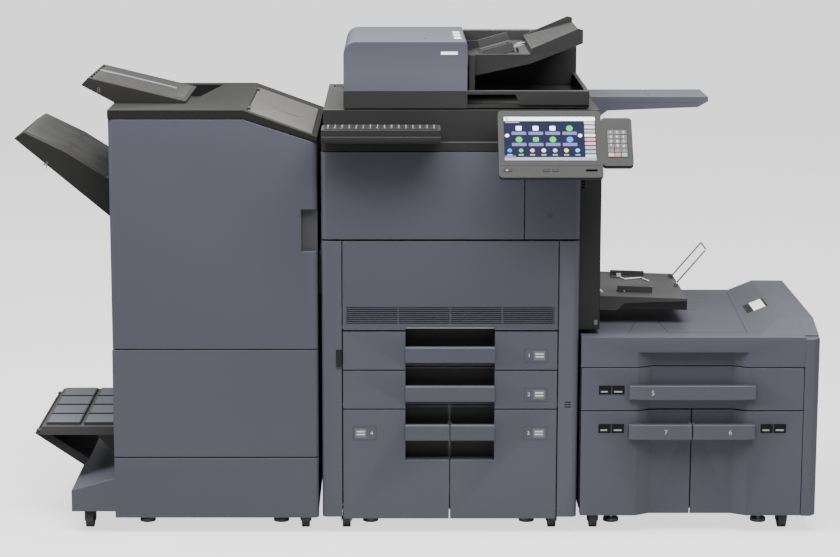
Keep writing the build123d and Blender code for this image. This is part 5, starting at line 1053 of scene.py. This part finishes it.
# ---- booklet tray ----
# A dark shelf low on the finisher's side with two rows of pale pads, and a flap that hangs under it.
booklet_low, booklet_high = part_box("booklet_tray")
pad_blue = surface("pad_pale_blue_grey", (0.10, 0.11, 0.13), vary=0.06, rough=(0.45, 0.55), wear=0.2)
shelf_grey = surface("shelf_dark_grey", (0.030, 0.030, 0.030), vary=0.08, rough=(0.45, 0.55), wear=0.4)
moulded("booklet_tray", shelf_grey, 0.8 * MM)
moulded("booklet_flap", tray_dark, 1.6 * MM)
pad_rows = ((-186, -100), (-90, -14))
for j, (x0, x1) in enumerate(pad_rows):
    for k in range(4):
        y = booklet_low.y + (16 + 94 * k) * MM
        plate(f"booklet_pad_{j}_{k}", (door_low.x + (x0 + 3) * MM, y + 4 * MM, booklet_high.z - 3 * MM),
              (door_low.x + (x1 - 3) * MM, y + 80 * MM, booklet_high.z + 0.8 * MM), (0, 0, 1), 6, 0.6,
              pad_blue, "main", 1.0)
plate("booklet_stop_lever", (booklet_low.x + 30 * MM, booklet_low.y + 60 * MM, booklet_high.z - 22 * MM),
      (booklet_low.x + 44 * MM, booklet_low.y + 84 * MM, booklet_high.z - 10 * MM), (0, -1, 0), 2.5, 1.2,
      deep, "main", 1.2)

# ---- side feeder ----
# A low cabinet on the right that holds large stacks: a top cover with a raised shoulder at the right,
# an end cover, and three fronts with a wide hollow down their middle, crossed by curved bars.
feeder_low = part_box("feeder_top_cover")[0]
end_low, end_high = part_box("feeder_end_cover")
cabinet_low, cabinet_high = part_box("feeder_cabinet")
moulded("feeder_top_cover", body_grey, 1.4 * MM, 2, 9)
moulded("feeder_end_cover", body_grey, 1.4 * MM, 2, 9)
coat(body_grey, "feeder_cabinet")
five_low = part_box("drawer_5")[0]
for k in (5, 6, 7):
    split_front(f"drawer_{k}", f"drawer_{k}_front", f"drawer_{k}_tray", five_low.y + 60 * MM, tray_steel,
                0.9 * MM, 9)
feeder_y = feeder_low.y
left_x = feeder_low.x
slip_grey = surface("slip_grey_print", (0.30, 0.30, 0.33), vary=0.05, rough=(0.5, 0.6), wear=0.0)
for k, (x, z) in {5: (45, -67), 7: (45, -55), 6: (451, -55)}.items():
    low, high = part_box(f"drawer_{k}")
    for j in range(2):
        x0 = left_x + (x + j * 33) * MM
        z0 = high.z + z * MM
        plate(f"drawer_{k}_window_{j}", (x0, feeder_y - 0.8 * MM, z0),
              (x0 + 31 * MM, feeder_y + 2 * MM, z0 + 23 * MM), (0, -1, 0), 1.6, 0.7, deep, f"drawer_{k}",
              0.4)
        plate(f"drawer_{k}_slip_{j}", (x0 + 5 * MM, feeder_y - 0.5 * MM, z0 + 5 * MM),
              (x0 + (22 + 3 * j) * MM, feeder_y + 0.3 * MM, z0 + 9 * MM), (0, -1, 0), 0.8, 0.1,
              slip_grey, f"drawer_{k}", 0.15)
bar_front = {k: min(v.co.y for v in frame["nodes"][f"drawer_{k}"].data.vertices) for k in (5, 6, 7)}


def curved_bar(name, x0, x1, z0, z1, y_face, bow, body, closed_left=True, closed_right=True):
    """A pull bar that bows forward from its ends: a block cut into strips and bent in plan."""
    strips = 14
    end_share = 0.14
    bar = block_of((x0, y_face - bow, z0), (x1, y_face + 5 * MM, z1))
    only(bar)
    bpy.ops.object.mode_set(mode="EDIT")
    for k in range(1, strips):
        x = x0 + (x1 - x0) * k / strips
        bpy.ops.mesh.select_all(action="SELECT")
        bpy.ops.mesh.bisect(plane_co=(x, 0, 0), plane_no=(1, 0, 0))
    bpy.ops.object.mode_set(mode="OBJECT")
    for v in bar.data.vertices:
        share = (v.co.x - x0) / (x1 - x0)
        rise = 1.0
        if closed_left:
            rise = min(rise, math.sin(min(1.0, share / end_share) * math.pi / 2))
        if closed_right:
            rise = min(rise, math.sin(min(1.0, (1 - share) / end_share) * math.pi / 2))
        v.co.y += bow * (1 - rise)
        if abs(v.co.z - z0) < 0.1 * MM:
            v.co.z += 1.5 * MM * (1 - rise)
    return finished(bar, name, bar_grey_painted_light, body, 1.6 * MM, 3, 45)


# painted light: the bars take the body's blue-grey a little lighter, as the light falls on them
bar_grey_painted_light = surface("bar_blue_grey_satin_painted_light", (0.060, 0.061, 0.080), vary=0.05, rough=(0.34, 0.42),
                   relief=0.00002, wear=0.6, dusty=0.05)
BAR_SPANS = {5: (121, 436, -80.5, -45), 7: (121, 278.5, -72, -34), 6: (281.5, 436, -72, -34)}
for k, (x0, x1, z0, z1) in BAR_SPANS.items():
    high_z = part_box(f"drawer_{k}")[1].z
    curved_bar(f"drawer_{k}_bar", left_x + x0 * MM, left_x + x1 * MM, high_z + (z0 + 1.5) * MM,
               high_z + (z1 + 1.5) * MM, bar_front[k], 3.5 * MM, f"drawer_{k}", k != 6, k != 7)
    figure_x = {5: x0 + 58, 7: x0 + 92, 6: x1 - 62}[k]
    middle = (left_x + figure_x * MM, bar_front[k] - 3.6 * MM, high_z + ((z0 + z1) / 2 + 1.5) * MM)
    printed(str(k), 17 * MM, middle, pale, f"drawer_{k}_number", f"drawer_{k}")

# lines and window on the feeder's top cover, and the shade of its shallow hollow painted as a flat darker
# wedge
flat_z = max(v.co.z for v in frame["nodes"]["feeder_top_cover"].data.vertices
             if v.co.y < feeder_low.y + 10 * MM)
seams = []
for (xa, ya), (xb, yb) in (((110, 560), (110, 330)), ((150, 175), (124, 60)), ((210, 190), (222, 60)),
                           ((222, 60), (420, 62)), ((420, 62), (440, 560)), ((250, 560), (236, 330)),
                           ((236, 330), (330, 330))):
    a = Vector((left_x + xa * MM, feeder_y + ya * MM, flat_z))
    b = Vector((left_x + xb * MM, feeder_y + yb * MM, flat_z))
    along = b - a
    seam = block_of((0, -0.9 * MM, -0.6 * MM), (along.length, 0.9 * MM, 0.25 * MM))
    seam.data.transform(Matrix.Translation(a) @ Matrix.Rotation(math.atan2(along.y, along.x), 4, "Z"))
    pressed(seam, (0, 0, 1), 0.35 * MM, 0.15 * MM)
    seams.append(seam)
finished(joined(seams), "feeder_top_lines", dark, "main", 0)

hump_left = end_low.x - 110 * MM
ramp = math.atan2(end_high.z - flat_z, 64 * MM)


def on_ramp(piece, along, back):
    """Lays a piece that was made flat at the origin on the ramp of the feeder's shoulder."""
    place = Matrix.Translation((hump_left + along * math.cos(ramp), feeder_y + back,
                                flat_z + along * math.sin(ramp)))
    piece.data.transform(place @ Matrix.Rotation(-ramp, 4, "Y"))


# painted light: the window's pane takes the glowing white of the lamps, though it is no lamp
for name, x0, x1, half, top, material in (("feeder_window_frame", 3, 65, 50, 0.5, mid_grey),
                                          ("feeder_window_gap", 6, 23, 44, 0.7, deep),
                                          ("feeder_window_pane", 24, 56, 46, 0.9, lamp_white),
                                          ("feeder_window_end", 57, 62, 46, 0.7, deep)):
    pane = block_of((x0 * MM, -half * MM, -0.6 * MM), (x1 * MM, half * MM, top * MM))
    pressed(pane, (0, 0, 1), 1.2 * MM, 0.15 * MM)
    on_ramp(pane, 0, 320 * MM)
    finished(pane, name, material, "main", 0.15 * MM)
# painted shade: a flat wedge of darker grey lies flush on the top, standing for the shade in a shallow hollow
hollow = block_of((left_x + 238 * MM, feeder_y + 385 * MM, flat_z - 0.5 * MM),
                  (left_x + 375 * MM, feeder_y + 470 * MM, flat_z + 0.3 * MM))
for v in hollow.data.vertices:
    if v.co.x > left_x + 300 * MM:
        v.co.y = feeder_y + (430 if v.co.y > feeder_y + 430 * MM else 422) * MM
pressed(hollow, (0, 0, 1), 2.0 * MM, 0.1 * MM)
finished(hollow, "feeder_top_hollow_painted_shade", mid_grey, "main", 0.1 * MM)

# ---- casters and feet ----
# Twin-cheek steel forks with rubber-tyred wheels; threaded feet beside them carry the machine.
fork_black = surface("fork_black_paint", (0.020, 0.020, 0.021), vary=0.10, rough=(0.35, 0.5), wear=0.7)
tyre = surface("caster_tyre_rubber", (0.050, 0.050, 0.052), vary=0.12, rough=(0.55, 0.7), grain=500.0,
               relief=0.00006, wear=0.3)
hub = surface("caster_hub_grey", (0.16, 0.16, 0.17), vary=0.08, rough=(0.4, 0.5), wear=0.4)
zinc_foot = surface("foot_zinc_plate", (0.45, 0.45, 0.46), vary=0.10, rough=(0.3, 0.45), wear=0.2, metal=0.9)
moulded("caster_forks", fork_black, 0.7 * MM)
coat(zinc_foot, "levelling_feet")
for name in ("front_wheels", "rear_wheels"):
    wheels = merged_copy(name)
    finished(wheels, name + "_tyres", tyre, name, 1.2 * MM, 3)
    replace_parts(wheels, name)
    low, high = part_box(name)
    centre_y, centre_z = (low.y + high.y) / 2, (low.z + high.z) / 2
    places = sorted({round(v.co.x, 4) for v in frame["nodes"][name].data.vertices})
    starts = [places[0]]
    for x in places:
        if x - starts[-1] > 30 * MM:
            starts.append(x)
    caps = []
    for x in starts:
        for x0, x1, way in ((x + 0.5 * MM, x + 2.6 * MM, -1), (x + 17.4 * MM, x + 19.5 * MM, 1)):
            cap = rod_of((x0, centre_y, centre_z), (x1, centre_y, centre_z), 13 * MM, 24)
            pressed(cap, (way, 0, 0), 3 * MM, 0.8 * MM)
            caps.append(cap)
    finished(joined(caps), name + "_hubs", hub, name, 0.4 * MM)

# ---- backs and sides ----
# Pan-head screws hold the backs of the main unit, the finisher and the feeder, and the backs of the last
# two are stiffened by wide raised fields.
rear_low, rear_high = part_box("rear_cover")
fin_low, fin_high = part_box("finisher_cabinet")
screws = []


def screw(x, y, z):
    """A pan-head screw with a dished head, which looks to the rear."""
    head = rod_of((x, y - 0.5 * MM, z), (x, y + 1.4 * MM, z), 4.2 * MM, 16)
    pressed(head, (0, 1, 0), 1.0 * MM, 0.4 * MM)
    screws.append(head)


for low, high, inset, sunk in ((rear_low, rear_high, 22, 1.35), (fin_low, fin_high, 22, 0.7),
                               (cabinet_low, cabinet_high, 30, 0.7)):
    for z in (low.z + 25 * MM, (low.z + high.z) / 2, high.z - 25 * MM):
        for x in (low.x + 22 * MM, high.x - inset * MM):
            screw(x, high.y - sunk * MM, z)
finished(joined(screws), "rear_screws", steel, "main", 0.3 * MM, 1)
for name, low, high, z0, z1 in (("finisher_rear_panel", fin_low, fin_high, 0.05, 0.47),
                                ("finisher_rear_upper_panel", fin_low, fin_high, 0.50, 0.97),
                                ("feeder_rear_panel", cabinet_low, cabinet_high, 0.08, 0.92)):
    tall = high.z - low.z
    plate(name, (low.x + 45 * MM, high.y - 2 * MM, low.z + tall * z0),
          (high.x - 45 * MM, high.y + 0.8 * MM, low.z + tall * z1), (0, 1, 0), 9, 0.5, body_grey, "main",
          0.4)
